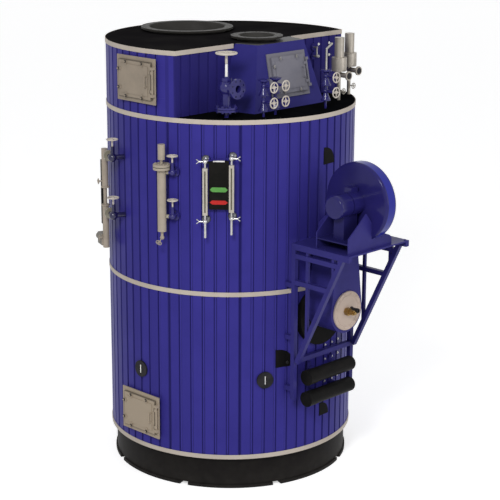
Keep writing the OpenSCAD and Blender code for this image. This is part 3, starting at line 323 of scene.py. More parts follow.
def dust_fall_group():
    """Mask = dust that is thick near a low level and thins out upwards, broken by noise."""
    group, gin, gout = new_group(
        "dust_fall",
        [("Low", NUMBER, 0.0), ("High", NUMBER, 0.5), ("Grain", NUMBER, 9.0), ("Amount", NUMBER, 0.5)],
        [("Mask", NUMBER)])
    _, _, z = place_parts(group)
    fade = group.nodes.new("ShaderNodeMapRange")
    fade.inputs["To Min"].default_value = 1.0
    fade.inputs["To Max"].default_value = 0.0
    group.links.new(z, fade.inputs["Value"])
    group.links.new(gin.outputs["Low"], fade.inputs["From Min"])
    group.links.new(gin.outputs["High"], fade.inputs["From Max"])
    place = group.nodes.new("ShaderNodeTexCoord")
    speck = group.nodes.new("ShaderNodeTexNoise")
    speck.inputs["Detail"].default_value = 6.0
    group.links.new(place.outputs["Object"], speck.inputs["Vector"])
    group.links.new(gin.outputs["Grain"], speck.inputs["Scale"])
    product = math_node(group, "MULTIPLY", fade.outputs["Result"], speck.outputs["Fac"])
    mask = math_node(group, "MULTIPLY", product, gin.outputs["Amount"], clamp=True)
    group.links.new(mask, gout.inputs["Mask"])
    return group


def drum_mask_group():
    """Mask = 1 nearer to the drum's axis than Edge and 0 farther out, with an edge one millimetre wide."""
    group, gin, gout = new_group("drum_mask", [("Edge", NUMBER, 1.25)], [("Mask", NUMBER)])
    x, y, _ = place_parts(group)
    inside = math_node(group, "SUBTRACT", gin.outputs["Edge"], axis_distance(group, x, y))
    group.links.new(smooth_step(group, inside, 0.0, 0.001), gout.inputs["Mask"])
    return group


def box_mask_group():
    """Mask = 1 inside a box, which Turn turns about an upright line through Centre, and 0 outside it."""
    group, gin, gout = new_group(
        "box_mask",
        [("Low", VECTOR, (0.0, 0.0, 0.0)), ("High", VECTOR, (1.0, 1.0, 1.0)),
         ("Centre", VECTOR, (0.0, 0.0, 0.0)), ("Turn", NUMBER, 0.0)],
        [("Mask", NUMBER)])
    n = group.nodes
    k = group.links
    place = n.new("ShaderNodeTexCoord")
    spun = n.new("ShaderNodeVectorRotate")
    spun.rotation_type = "Z_AXIS"
    k.new(place.outputs["Object"], spun.inputs["Vector"])
    k.new(gin.outputs["Centre"], spun.inputs["Center"])
    k.new(gin.outputs["Turn"], spun.inputs["Angle"])
    over = n.new("ShaderNodeVectorMath")
    over.operation = "SUBTRACT"
    under = n.new("ShaderNodeVectorMath")
    under.operation = "SUBTRACT"
    least = n.new("ShaderNodeVectorMath")
    least.operation = "MINIMUM"
    parts = n.new("ShaderNodeSeparateXYZ")
    k.new(spun.outputs["Vector"], over.inputs[0])
    k.new(gin.outputs["Low"], over.inputs[1])
    k.new(gin.outputs["High"], under.inputs[0])
    k.new(spun.outputs["Vector"], under.inputs[1])
    k.new(over.outputs[0], least.inputs[0])
    k.new(under.outputs[0], least.inputs[1])
    k.new(least.outputs[0], parts.inputs[0])
    flat = math_node(group, "MINIMUM", parts.outputs["X"], parts.outputs["Y"])
    inside = math_node(group, "MINIMUM", flat, parts.outputs["Z"])
    k.new(smooth_step(group, inside, 0.0, 0.0005), gout.inputs["Mask"])
    return group


paint_skin = paint_skin_group()
groove = groove_group()
panel_tone = panel_tone_group()
dust_fall = dust_fall_group()
drum_mask = drum_mask_group()
box_mask = box_mask_group()
print("groups:", [g.name for g in bpy.data.node_groups])

# %% [markdown]
# ## Finishes
# Most of the boiler is violet-blue enamel, with a random tone for each cladding panel that is partly painted
# reflection, painted shade at the groove walls and along the groove edges, and painted light on the groove
# floors. The bands and gauge columns are cream, the doors warm grey, the deck, roof and foot dull black. Each
# finish is a Principled shader fed by the shared groups, with its own numbers on the shader's sockets. Other
# colours are laid over it where a mask is 1, as a painter would mask off a part.

# %% Painted and metal finishes


def enamel(name, paint, shade, gloss, clouds=2.5, peel=160.0, bump=0.03, metallic=0.0, specular=0.10):
    """A painted or metal finish: the paint_skin group drives colour, roughness and a very fine bump."""
    mat = bpy.data.materials.new(name)
    mat.use_nodes = True
    n = mat.node_tree.nodes
    k = mat.node_tree.links
    shader = n["Principled BSDF"]
    shader.inputs["Metallic"].default_value = metallic
    shader.inputs["Specular IOR Level"].default_value = specular
    skin = n.new("ShaderNodeGroup")
    skin.node_tree = paint_skin
    skin.name = "skin"
    skin.inputs["Paint"].default_value = (*paint, 1.0)
    skin.inputs["Shade"].default_value = (*shade, 1.0)
    skin.inputs["Gloss"].default_value = gloss
    skin.inputs["Clouds"].default_value = clouds
    skin.inputs["Peel"].default_value = peel
    relief = n.new("ShaderNodeBump")
    relief.inputs["Strength"].default_value = bump
    relief.inputs["Distance"].default_value = 0.002
    k.new(skin.outputs["Color"], shader.inputs["Base Color"])
    k.new(skin.outputs["Roughness"], shader.inputs["Roughness"])
    k.new(skin.outputs["Height"], relief.inputs["Height"])
    k.new(relief.outputs["Normal"], shader.inputs["Normal"])
    return mat


def lay(mat, mask, colour, most=1.0):
    """Lays a second colour over a finish where a mask socket is 1, at most by a given share."""
    k = mat.node_tree.links
    over = mat.node_tree.nodes.new("ShaderNodeMix")
    over.data_type = "RGBA"
    over.inputs["B"].default_value = (*colour, 1.0)
    base = mat.node_tree.nodes["Principled BSDF"].inputs["Base Color"]
    source = base.links[0].from_socket
    k.new(math_node(mat.node_tree, "MULTIPLY", mask, most), over.inputs["Factor"])
    k.new(source, over.inputs["A"])
    k.new(over.outputs["Result"], base)
    return mat


def placed(mat, group, **values):
    """A shared group placed in a finish, with its own values."""
    node = mat.node_tree.nodes.new("ShaderNodeGroup")
    node.node_tree = group
    for label, value in values.items():
        node.inputs[label].default_value = value
    return node.outputs


def mask_off(mat, low, high, colour, most=1.0, **turned_box):
    """Lays a colour over a finish inside a box, which Centre and Turn may turn about an upright line."""
    box = placed(mat, box_mask, Low=low, High=high, **turned_box)
    return lay(mat, box["Mask"], colour, most)


def clad_finish(name, front):
    """Blue enamel with a panel tone, painted shade at the groove walls and edges, and painted light on the
    groove floors.
    """
    mat = enamel(name, (0.038, 0.032, 0.240), (0.033, 0.028, 0.212), 0.30, specular=0.06)
    panel = placed(mat, panel_tone)
    # Partly painted reflection: each panel's tone shifts at random, as each flat sheet reflects a little
    # differently.
    lay(mat, panel["Tone"], (0.030, 0.025, 0.188), 0.55)
    masks = placed(mat, groove, Crest=1.1940, Depth=0.012, Front=front)
    # Painted shade: a dark line along the crest's edges beside each groove.
    edge_shade_line = math_node(mat.node_tree, "MULTIPLY", panel["Edge"], masks["Round"])
    lay(mat, edge_shade_line, (0.020, 0.017, 0.125), 0.5)
    # Painted shade darkens the groove walls, and painted light makes the groove floors lighter to offset
    # their shade.
    lay(mat, masks["Wall"], (0.014, 0.012, 0.090), 0.9)
    lay(mat, masks["Floor"], (0.052, 0.045, 0.300))
    return mat


beyond = 9.0
house_wall_y = 0.415
clad_blue = clad_finish("clad_blue", beyond)
house_blue = clad_finish("house_blue", house_wall_y)
# Painted shade: the smoke house's front wall is darkened as if it lay in shade.
mask_off(house_blue, (-beyond, -house_wall_y - 0.0015, -beyond), (beyond, -house_wall_y + 0.015, beyond),
         (0.015, 0.012, 0.090), 0.7)
hood_blue = enamel("hood_blue", (0.026, 0.023, 0.165), (0.022, 0.020, 0.140), 0.32, clouds=3.0)
# Painted shade and light: the fan's face is painted darker as if in shade, and its rim lighter as if lit.
fan_shaded_blue = enamel("fan_shaded_blue", (0.018, 0.015, 0.110), (0.015, 0.013, 0.094), 0.10, clouds=4.0, specular=0.15)
fan_lit_rim_half = 0.045
mask_off(fan_shaded_blue, (-fan_lit_rim_half, -beyond, -beyond), (fan_lit_rim_half, beyond, beyond), (0.018, 0.022, 0.250))
motor_blue = enamel("motor_blue", (0.018, 0.015, 0.115), (0.015, 0.013, 0.095), 0.08,
                    clouds=4.0, specular=0.2)
frame_blue = enamel("frame_blue", (0.030, 0.026, 0.165), (0.025, 0.022, 0.140), 0.30, clouds=4.0)
valve_blue = enamel("valve_blue", (0.022, 0.019, 0.135), (0.017, 0.015, 0.105), 0.09,
                    clouds=9.0, specular=0.35)
column_blue = enamel("column_blue", (0.026, 0.022, 0.150), (0.020, 0.017, 0.115), 0.14,
                     clouds=9.0, specular=0.3)
left_blue = enamel("left_blue", (0.012, 0.010, 0.060), (0.009, 0.008, 0.045), 0.06, clouds=9.0, specular=0.5)
band_cream = enamel("band_cream", (0.50, 0.44, 0.38), (0.44, 0.385, 0.33), 0.38, clouds=3.0)
plate_cream = enamel("plate_cream", (0.50, 0.405, 0.345), (0.455, 0.365, 0.305), 0.38, clouds=6.0)
gauge_cream = enamel("gauge_cream", (0.38, 0.325, 0.265), (0.325, 0.28, 0.225), 0.38, clouds=8.0)
glass_frame = enamel("glass_frame", (0.47, 0.435, 0.375), (0.41, 0.38, 0.325), 0.36, clouds=9.0)
wheel_cream = enamel("wheel_cream", (0.56, 0.51, 0.45), (0.48, 0.43, 0.38), 0.35, clouds=14.0)
door_grey = enamel("door_grey", (0.30, 0.250, 0.195), (0.255, 0.215, 0.170), 0.36, clouds=5.0)
clamp_dark = enamel("clamp_dark", (0.050, 0.046, 0.040), (0.070, 0.064, 0.056), 0.40, clouds=12.0)
# Painted reflection: the hood door's grey is tinted blue, as by the blue hood round it.
hood_door_reflected_blue = enamel("hood_door_reflected_blue", (0.19, 0.185, 0.215), (0.16, 0.158, 0.190), 0.36, clouds=5.0)
roof_paint = (0.012, 0.011, 0.012)
deck_black = enamel("deck_black", (0.004, 0.004, 0.005), (0.006, 0.006, 0.007), 0.50,
                    clouds=3.0, specular=0.0)
roof_black = enamel("roof_black", roof_paint, (0.017, 0.016, 0.016), 0.50, clouds=3.0, specular=0.0)
foot_black = enamel("foot_black", (0.007, 0.006, 0.006), (0.011, 0.010, 0.009), 0.48,
                    clouds=6.0, bump=0.08, specular=0.05)
foot_dust = placed(foot_black, dust_fall, Low=0.0, High=0.30, Grain=14.0, Amount=0.4)
lay(foot_black, foot_dust["Mask"], (0.05, 0.046, 0.042))
uptake_steel = enamel("uptake_steel", (0.026, 0.024, 0.021), (0.018, 0.017, 0.015), 0.40, clouds=5.0)
# Painted light: the sleeves are lighter than the uptakes' rims, as a lit inner wall.
sleeve_lit_steel = enamel("sleeve_lit_steel", (0.062, 0.060, 0.056), (0.048, 0.046, 0.042), 0.45, clouds=5.0)
# Painted shade: near black stands for the shade inside the burner throat and the port recesses; the left
# indicator is dark of its own.
opening_shade_black = enamel("opening_shade_black", (0.004, 0.004, 0.004), (0.008, 0.007, 0.007), 0.55,
                      clouds=6.0, specular=0.05)
heater_black = enamel("heater_black", (0.006, 0.006, 0.006), (0.010, 0.009, 0.009), 0.40,
                      clouds=9.0, specular=0.04)
board_black = enamel("board_black", (0.009, 0.009, 0.008), (0.013, 0.012, 0.011), 0.42,
                     clouds=10.0, specular=0.03)
plug_iron = enamel("plug_iron", (0.012, 0.012, 0.014), (0.022, 0.021, 0.023), 0.42, clouds=12.0)
bare_steel = enamel("bare_steel", (0.40, 0.385, 0.36), (0.28, 0.27, 0.25), 0.28, clouds=16.0, metallic=0.85)
cock_steel = enamel("cock_steel", (0.52, 0.51, 0.50), (0.42, 0.41, 0.40), 0.16, clouds=16.0, metallic=0.7)
cock_dome = placed(cock_steel, drum_mask, Edge=1.255)
lay(cock_steel, cock_dome["Mask"], (0.14, 0.14, 0.15))
safety_steel = enamel("safety_steel", (0.385, 0.35, 0.305), (0.30, 0.275, 0.24), 0.28,
                      clouds=8.0, metallic=0.55)
bright_steel = enamel("bright_steel", (0.80, 0.79, 0.77), (0.66, 0.65, 0.63), 0.22, clouds=22.0, metallic=0.6)
brass = enamel("brass", (0.34, 0.215, 0.075), (0.24, 0.15, 0.05), 0.26, clouds=18.0, metallic=0.9)
sight_dark = enamel("sight_dark", (0.100, 0.094, 0.062), (0.140, 0.130, 0.090), 0.10,
                    clouds=9.0, specular=0.4)
plate_green = enamel("plate_green", (0.115, 0.335, 0.080), (0.100, 0.300, 0.070), 0.35, clouds=20.0)
plate_red = enamel("plate_red", (0.52, 0.030, 0.027), (0.47, 0.025, 0.023), 0.35, clouds=20.0)
print("finishes:", len(bpy.data.materials))

# %% [markdown]
# ## Masked-off parts of one solid
# Some solids carry more than one finish: the hood is black on top, like the roof round it, and the main
# valve's bonnet has a bright upright stripe, a painted highlight. A box mask marks each such place, measured
# from the boxes of the solids where it can be.

# %% Second colours on the deck and the house


def middle(name):
    """The middle of a CAD node's box."""
    low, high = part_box(name)
    return (np.array(low) + np.array(high)) / 2


roof_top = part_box("roof_plate")[1].z
deck_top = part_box("deck_plate")[1].z
mask_off(hood_blue, (-beyond, -beyond, roof_top - 0.001), (beyond, beyond, beyond), roof_paint)

# Painted highlight: a bright upright stripe on the main valve's bonnet, turned an eighth of a turn round its
# axis, stands for a gloss streak.
painted_highlight = (0.78, 0.76, 0.73)
highlight_half = 0.011
highlight_deep = 0.05
highlight_low = deck_top + 0.372
highlight_high = deck_top + 0.484
main_x, main_y, _ = middle("main_wheel")
mask_off(valve_blue, (main_x - highlight_half, main_y - highlight_deep, highlight_low),
         (main_x + highlight_half, main_y + highlight_deep, highlight_high), painted_highlight,
         Centre=(main_x, main_y, 0.0), Turn=math.pi / 4)
pads_low = (0.6, -0.4265, 3.8)
pads_high = (0.8, -0.41, 4.1)
mask_off(bare_steel, pads_low, pads_high, (0.030, 0.026, 0.170))
print("deck top", round(deck_top, 3), "roof top", round(roof_top, 3))

# %% [markdown]
# ## Two colours on the gauges
# On the gauges the box is turned round the drum's axis with them, so that its x runs along the wall and its
# -y points out. The links of the valves are cream, a dark line parts the column's two flanges, the left
# gauge's box is darker, the board has a pale top edge and the bracket between the cocks is blue.

# %% Second colours on the gauges
gauge_turn = math.radians(-50.0)
column_turn = math.radians(-74.0)
left_turn = math.radians(-112.0)
link_far = -1.5
link_near = -1.2
mask_off(column_blue, (0.030, link_far, 0.0), (0.066, link_near, beyond), (0.30, 0.265, 0.205),
         Turn=-column_turn)
mask_off(left_blue, (0.118, link_far, 0.0), (0.138, link_near, beyond), (0.235, 0.215, 0.160),
         Turn=-left_turn)
gauge_far = -1.6
gauge_near = -1.1
mask_off(gauge_cream, (-0.25, gauge_far, 2.205), (-0.034, gauge_near, 2.325), (0.20, 0.185, 0.16),
         Turn=-left_turn)
flange_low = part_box("level_column")[1].z - 0.230
flange_top = flange_low + 0.050
flange_thick = 0.0215
mask_off(gauge_cream, (-0.15, gauge_far, flange_low + flange_thick),
         (0.15, gauge_near, flange_top - flange_thick), (0.10, 0.09, 0.07), Turn=-column_turn)
bar_half = 0.052
bar_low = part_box("front_gauge_board")[1].z - 0.0125
mask_off(board_black, (-bar_half, -beyond, bar_low), (bar_half, beyond, beyond), (0.80, 0.78, 0.76),
         Turn=-gauge_turn)
bracket_half = 0.095
mask_off(cock_steel, (-bracket_half, gauge_far, 2.8), (bracket_half, gauge_near, 3.6),
         (0.026, 0.022, 0.160), Turn=-gauge_turn)
print("flange pair of the column from", round(flange_low, 3), "to", round(flange_top, 3))

# %% [markdown]
# ## Two colours on the doors and the stool
# A thin dark line of painted shade marks the gap round each grey leaf: it is what lies inside a box a little
# larger than the leaf and outside one a little smaller. The lower door is lighter, the hood's frame bluer as
# a painted reflection of the blue hood, and the inside of the fan's stool is painted dark as shade under the
# motor.

# %% Second colours on the doors and the fan's stool
low_door_top = 1.2
mask_off(door_grey, (-beyond, -beyond, 0.0), (beyond, beyond, low_door_top), (0.365, 0.300, 0.225))
leaf_half_w = 0.217
leaf_half_h = 0.1695
# Painted shade: a dark line round each leaf stands for the shade in its gap.
line_half = 0.005
for leaf in ("house_door", "lower_door"):
    leaf_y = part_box(leaf)[1].y - leaf_half_w
    leaf_z = middle(leaf)[2]
    half_sizes = [(leaf_half_w + d, leaf_half_h + d) for d in (line_half, -line_half)]
    edges = [placed(door_grey, box_mask, Low=(-beyond, leaf_y - w, leaf_z - h),
                    High=(0.0, leaf_y + w, leaf_z + h)) for w, h in half_sizes]
    line = math_node(door_grey.node_tree, "SUBTRACT", edges[0]["Mask"], edges[1]["Mask"], clamp=True)
    lay(door_grey, line, (0.06, 0.052, 0.042), 0.6)
# Painted reflection: the hood door's frame gets the same blue tint.
hood_frame_reflection_low = (-0.5, -1.2, 3.5)
hood_frame_reflection_high = (0.5, -0.5, 4.3)
mask_off(door_grey, hood_frame_reflection_low, hood_frame_reflection_high, (0.165, 0.160, 0.190))
platform_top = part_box("fan_platform")[1].z
# Painted shade: the inside of the stool under the motor is darkened as shade.
stool_shade_low = (-0.4, -1.842, platform_top + 0.002)
stool_shade_high = (0.4, -1.484, platform_top + 0.5)
mask_off(frame_blue, stool_shade_low, stool_shade_high, (0.010, 0.009, 0.060), 0.7)
print("platform top", round(platform_top, 3))

# %% [markdown]
# ## Which solid wears which finish
# One table names the solids of each finish, and a loop puts the finish on them.

# %% Table of finishes
finish_of = {
    clad_blue: "lower_shell upper_shell",
    house_blue: "house_wall",
    hood_blue: "smoke_hood",
    fan_shaded_blue: "fan_housing",
    frame_blue: "burner_frame fan_platform fan_stool air_duct windbox",
    motor_blue: "fan_motor",
    valve_blue: "main_steam_valve mid_valve_stacks right_valve_stack",
    band_cream: "cladding_bands",
    plate_cream: "burner_front",
    gauge_cream: "level_column left_column",
    glass_frame: "front_gauge_glasses",
    wheel_cream: " ".join(n for n in nodes if "wheel" in n),
    door_grey: "door_frames house_door lower_door",
    hood_door_reflected_blue: "hood_door",
    deck_black: "deck_plate",
    roof_black: "roof_plate",
    foot_black: "base_ring skirt bottom_plate",
    uptake_steel: "exhaust_uptake furnace_uptake",
    opening_shade_black: "burner_throat cladding_ports left_indicator",
    heater_black: "oil_heaters",
    board_black: "front_gauge_board",
    plug_iron: "inspection_plugs",
    bare_steel: "siphon_tubes",
    cock_steel: "front_gauge_cocks",
    column_blue: "level_column_valves",
    left_blue: "left_valves",
    safety_steel: "safety_valves",
    brass: "burner_lance",
}
for finish, names in finish_of.items():
    for name in names.split():
        nodes[name].data.materials.clear()
        nodes[name].data.materials.append(finish)
print("nodes without a finish:", sorted(set(nodes) - set(" ".join(finish_of.values()).split())))

# %% [markdown]
# ## Tools for small pieces
# Every small piece here is a surface on a grid. A lathe carries a profile of radius and height round an
# axis; a row places one shape at many spots at once. Arrays hold all points, so no loop runs over vertices.

# %% Surface helpers


def grid_faces(rows, cols, wrap_rows=False, wrap_cols=False):
    """Quads of a grid: corner (i, j) joins (i, j + 1), (i + 1, j + 1) and (i + 1, j)."""
    i = np.arange(rows if wrap_rows else rows - 1)
    j = np.arange(cols if wrap_cols else cols - 1)
    i, j = [a.ravel() for a in np.meshgrid(i, j, indexing="ij")]
    i2 = (i + 1) % rows
    j2 = (j + 1) % cols
    return np.stack([i * cols + j, i * cols + j2, i2 * cols + j2, i2 * cols + j], axis=1)


def lathe(profile, sides):
    """Point = (r cos a, r sin a, h) for each profile pair (r, h) and each angle a."""
    p = np.asarray(profile, float)
    a = (np.arange(sides) + 0.5) * 2 * np.pi / sides
    ring = np.stack([np.cos(a), np.sin(a)], axis=1)
    points = np.concatenate([p[:, None, :1] * ring[None], np.repeat(p[:, None, 1:], sides, axis=1)], axis=2)
    return points.reshape(-1, 3), grid_faces(len(p), sides, wrap_cols=True)


def facing(axis):
    """Columns of a rotation that turns +Z to an axis, with x kept level where it can be."""
    z = np.asarray(axis, float)
    z = z / np.linalg.norm(z)
    ref = np.array([0.0, 0.0, 1.0]) if abs(z[2]) < 0.95 else np.array([0.0, 1.0, 0.0])
    x = np.cross(ref, z)
    x /= np.linalg.norm(x)
    return np.stack([x, np.cross(z, x), z], axis=1)


def row(shape, spots, turns):
    """The shape's points turned by each 3 x 3 matrix and moved to each spot, as one shape."""
    v, f = shape
    spots = np.asarray(spots, float).reshape(-1, 3)
    turns = np.asarray(turns, float).reshape(-1, 3, 3)
    turns = np.broadcast_to(turns, (len(spots), 3, 3))
    points = np.einsum("nij,vj->nvi", turns, v) + spots[:, None, :]
    faces = f[None] + (np.arange(len(spots)) * len(v))[:, None, None]
    return points.reshape(-1, 3), faces.reshape(-1, f.shape[1])


def gathered(shapes):
    """Several shapes as one array of points and one of faces."""
    starts = np.cumsum([0] + [len(v) for v, _ in shapes[:-1]])
    points = np.concatenate([v for v, _ in shapes])
    faces = np.concatenate([f + start for (_, f), start in zip(shapes, starts)])
    return points, faces


def piece(name, shapes, finish, body="boiler", crease=32.0):
    """A finished object: doubles merged, normals out, smooth apart from edges sharper than the crease."""
    v, f = gathered(shapes)
    mesh = bpy.data.meshes.new(name)
    mesh.from_pydata(v.tolist(), [], f.tolist())
    bm = bmesh.new()
    bm.from_mesh(mesh)
    bmesh.ops.remove_doubles(bm, verts=bm.verts, dist=1e-6)
    bmesh.ops.recalc_face_normals(bm, faces=bm.faces)
    bm.to_mesh(mesh)
    bm.free()
    mesh.polygons.foreach_set("use_smooth", np.ones(len(mesh.polygons), bool))
    mesh.set_sharp_from_angle(angle=math.radians(crease))
    mesh.materials.append(finish)
    obj = bpy.data.objects.new(name, mesh)
    scene.collection.objects.link(obj)
    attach(obj, body)
    print(name, len(mesh.polygons), "faces")
    return obj


def hex_bolt(r, h, washer=1.35):
    """A six-sided head with a chamfered top on a round washer, base at the origin, +Z out."""
    head = lathe([(0, 0.18 * h), (r, 0.18 * h), (r, 0.86 * h), (0.86 * r, h), (0, h)], 6)
    disc = lathe([(0, 0), (washer * r, 0), (washer * r, 0.18 * h), (0, 0.18 * h)], 14)
    return gathered([disc, head])


def circle_spots(centre, axis, r, count):
    """Spots evenly round a circle of radius r across an axis, the first half a step from its x."""
    m = facing(axis)
    a = (np.arange(count) + 0.5) * 2 * np.pi / count
    return np.asarray(centre, float) + r * (np.cos(a)[:, None] * m[:, 0] + np.sin(a)[:, None] * m[:, 1])


def round_drum(points, turn):
    """Turns points drawn facing -Y by an angle round the drum's axis."""
    c, s = math.cos(turn), math.sin(turn)
    p = np.asarray(points, float)
    return np.stack([c * p[..., 0] - s * p[..., 1], s * p[..., 0] + c * p[..., 1], p[..., 2]], axis=-1)


up = facing((0, 0, 1))
down = facing((0, 0, -1))
out = facing((0, -1, 0))

# %% [markdown]
# ## The front gauge's plates and glasses
# Between the two level glasses hangs a black board with a green and a red plate that point at the glasses
# with their tips. Each plate is a flat six-sided shape with a raised edge, and each glass a dark strip in
# its slot. They are placed in the gauge's own frame: x along the wall, z up, and -y out of the drum.

# %% Gauge plates and sight glasses
crest_r = 1.1948
board_front = crest_r + 0.052
glass_front = crest_r + 0.115
gauge_z = middle("front_gauge_glasses")[2]


def tipped_plate(half_w, half_h, tip, thick, z, front):
    """A six-sided plate with pointed ends: outline rings at the back, the edge and a raised inner face."""
    outline = np.array([(-half_w, 0), (-half_w + tip, half_h), (half_w - tip, half_h), (half_w, 0),
                        (half_w - tip, -half_h), (-half_w + tip, -half_h)], float)
    scale = np.array([0.0, 1.0, 1.0, 0.94, 0.90, 0.0])
    depth = np.array([0.0, 0.0, 0.8, 1.0, 0.85, 0.85]) * thick
    xy = scale[:, None, None] * outline[None]
    y = np.broadcast_to(-front - depth[:, None, None], (6, 6, 1))
    pts = np.concatenate([xy[..., :1], y, xy[..., 1:] + z], axis=2)
    return round_drum(pts, gauge_turn).reshape(-1, 3), grid_faces(6, 6, wrap_cols=True)


def upright_strip(x, front, z, half, r, bulge):
    """A half-round strip: x = r cos t, depth = bulge sin t, from z - half to z + half, with closed ends."""
    t = np.linspace(0, np.pi, 9)
    grow = np.array([0.0, 1.0, 1.0, 0.0])
    height = np.array([-half, -half, half, half]) + z
    sx = x + r * np.cos(t)[:, None] * grow
    sy = -front - bulge * np.sin(t)[:, None] * grow
    points = np.stack([sx, sy, np.broadcast_to(height, (9, 4))], axis=2)
    return points.reshape(-1, 3), grid_faces(9, 4, wrap_rows=True)


def turned(shape, turn):
    """A shape drawn facing -Y, turned round the drum's axis."""
    return round_drum(shape[0], turn), shape[1]


plate_size = dict(half_w=0.0815, tip=0.022, thick=0.004, front=board_front)
green_plate = tipped_plate(half_h=0.0215, z=gauge_z - 0.005, **plate_size)
red_plate = tipped_plate(half_h=0.0185, z=gauge_z - 0.122, **plate_size)
piece("gauge_plate_green", [green_plate], plate_green, crease=20.0)
piece("gauge_plate_red", [red_plate], plate_red, crease=20.0)
glass_x = 0.119
glass_stagger = 0.016
slot_floor = glass_front - 0.011
glass_size = dict(half=0.188, r=0.0050, bulge=0.004)
glasses = [upright_strip(glass_x * s, slot_floor, gauge_z + glass_stagger * s, **glass_size) for s in (-1, 1)]
piece("sight_glasses", [turned(strip, gauge_turn) for strip in glasses], sight_dark)

# %% [markdown]
# ## Bars of the inspection plugs
# Each round plug has an upright slot with a bright bar in it, to turn it with. The bar is a half-round
# strip like the glasses, so the same function makes it.

# %% Plug bars
plug_face = crest_r + 0.016
slot_in = 0.008
plug_spots = ((-90.0, 1.094), (-29.5, 1.090))
bars = [upright_strip(0.0, plug_face - slot_in, z, half=0.040, r=0.0058, bulge=0.012) for _, z in plug_spots]
plug_bars = [turned(bar, math.radians(a)) for bar, (a, _) in zip(bars, plug_spots)]
piece("plug_bars", plug_bars, bright_steel)

# %% [markdown]
# ## Bolts and nuts
# Flanges are pulled together by rings of bolts. A bolt head is a six-sided lathe on a washer, and a ring of
# them is one row. The main valve's flange pair has two rings, and the burner's front plate has one.

# %% Bolt rings
valve_bolt = hex_bolt(0.012, 0.014)
valve_ring_r = 0.084
ring_top = circle_spots((main_x, main_y, deck_top + 0.100), (0, 0, 1), valve_ring_r, 8)
ring_low = circle_spots((main_x, main_y, deck_top + 0.060), (0, 0, 1), valve_ring_r, 8)
piece("main_valve_bolts", [row(valve_bolt, ring_top, up), row(valve_bolt, ring_low, down)],
      valve_blue)

bead_out = 0.004
plate_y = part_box("burner_front")[0].y + bead_out
plate_z = middle("burner_front")[2]
plate_bolt = hex_bolt(0.0055, 0.006)
plate_ring_r = 0.164
plate_ring = circle_spots((0, plate_y, plate_z), (0, -1, 0), plate_ring_r, 12)
piece("burner_plate_bolts", [row(plate_bolt, plate_ring, out)], plate_cream)

# %% [markdown]
# ## Screws of the cladding and of the gauge fittings
# Under the burner the cladding panels are held by bright screws, one column of them to a panel. On the smoke
# house four bolts hold a pad for the tubes. The level column's flange pair has a ring of bolts on each side,
# and the fan's platform has four. Each set is rows of one bolt.

# %% Screws and small bolts
screw = hex_bolt(0.009, 0.008)
panel_turns = np.radians([4.0, 9.4, 14.85])
screw_z = np.array([1.312, 1.169, 0.945])
screw_at = [round_drum((0.0, -crest_r, z), a) for a in panel_turns for z in screw_z]
screw_turn = [facing(round_drum((0.0, -1.0, 0.0), a)) for a in panel_turns for _ in screw_z]
piece("panel_screws", [row(screw, screw_at, screw_turn)], bright_steel)

pad_front = -0.4153
pad_bolts = [(x, pad_front, z) for x in (0.787, 0.941) for z in (3.920, 4.036)]
piece("tube_pad_bolts", [row(hex_bolt(0.010, 0.010), pad_bolts, out)], bright_steel)

platform_low, platform_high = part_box("fan_platform")
corner_x = (platform_low.x + 0.03, platform_high.x - 0.03)
corner_y = (platform_low.y + 0.025, platform_low.y + 0.30)
corners = [(x, y, platform_top) for x in corner_x for y in corner_y]
column_out = crest_r + 0.095
column_ring_r = 0.060
flange_bolt = hex_bolt(0.007, 0.008)
column_low, column_top = [
    circle_spots(round_drum((0.0, -column_out, z), column_turn), (0, 0, 1), column_ring_r, 8)
    for z in (flange_low, flange_top)]
piece("column_bolts", [row(flange_bolt, column_top, up), row(flange_bolt, column_low, down)],
      gauge_cream)
piece("platform_bolts", [row(hex_bolt(0.010, 0.009), corners, up)], frame_blue)

# %% [markdown]
# ## Foot ring
# The foot is a thin flange in eight lengths with gaps between them. Each length is a profile of radius and
# height swept round the drum's axis, with its ends drawn in to the middle of the profile. A low wall above
# the flange carries the skirt down. The piece stands for the CAD model's ring, which is thicker.

# %% Foot ring


def swept_ring(profile, start, end, steps):
    """Point = (r sin a, -r cos a, h) for each pair (r, h) and angle a, both ends drawn in to the middle."""
    p = np.asarray(profile, float)
    a = np.linspace(start, end, steps)
    a = np.concatenate([a[:1], a, a[-1:]])
    grow = np.ones(steps + 2)
    grow[[0, -1]] = 0.0
    mid = p.mean(axis=0)
    q = mid + grow[:, None, None] * (p - mid)
    points = np.stack([q[..., 0] * np.sin(a)[:, None], -q[..., 0] * np.cos(a)[:, None], q[..., 1]], axis=2)
    return points.reshape(-1, 3), grid_faces(steps + 2, len(p), wrap_cols=True)


def tube_profile(inner, outer, low, high):
    """The closed profile of a tube wall: its four corners and the first one again."""
    return [(inner, low), (outer, low), (outer, high), (inner, high), (inner, low)]


skirt_r = 1.150
skirt_inner = 1.125
skirt_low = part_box("skirt")[0].z
foot_inner = 1.075
foot_edge = skirt_r + 0.014
foot_top = 0.030
foot_profile = tube_profile(foot_inner, foot_edge, 0.0, foot_top)[:4]
first_gap = 22.5
gap_step = 45.0
gap_wide = 4.0
arc_starts = np.radians(first_gap + gap_step * np.arange(8) + gap_wide / 2)
arc_long = math.radians(gap_step - gap_wide)
arcs = [swept_ring(foot_profile, start, start + arc_long, 24) for start in arc_starts]
low_wall = lathe(tube_profile(skirt_inner, skirt_r, foot_top, skirt_low), 180)
foot_ring = piece("foot_ring", arcs + [low_wall], foot_black)
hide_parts("base_ring")

# %% [markdown]
# ## Ports of the cladding
# Three black sheets of painted shade lie over the ports and stand for their dark openings. Their outline is a
# quarter of a full ellipse with an upright left edge and a level foot, and they are bent to the drum. A dark
# plug and a bright knob stand at the drain port.

# %% Port shade sheets and drain


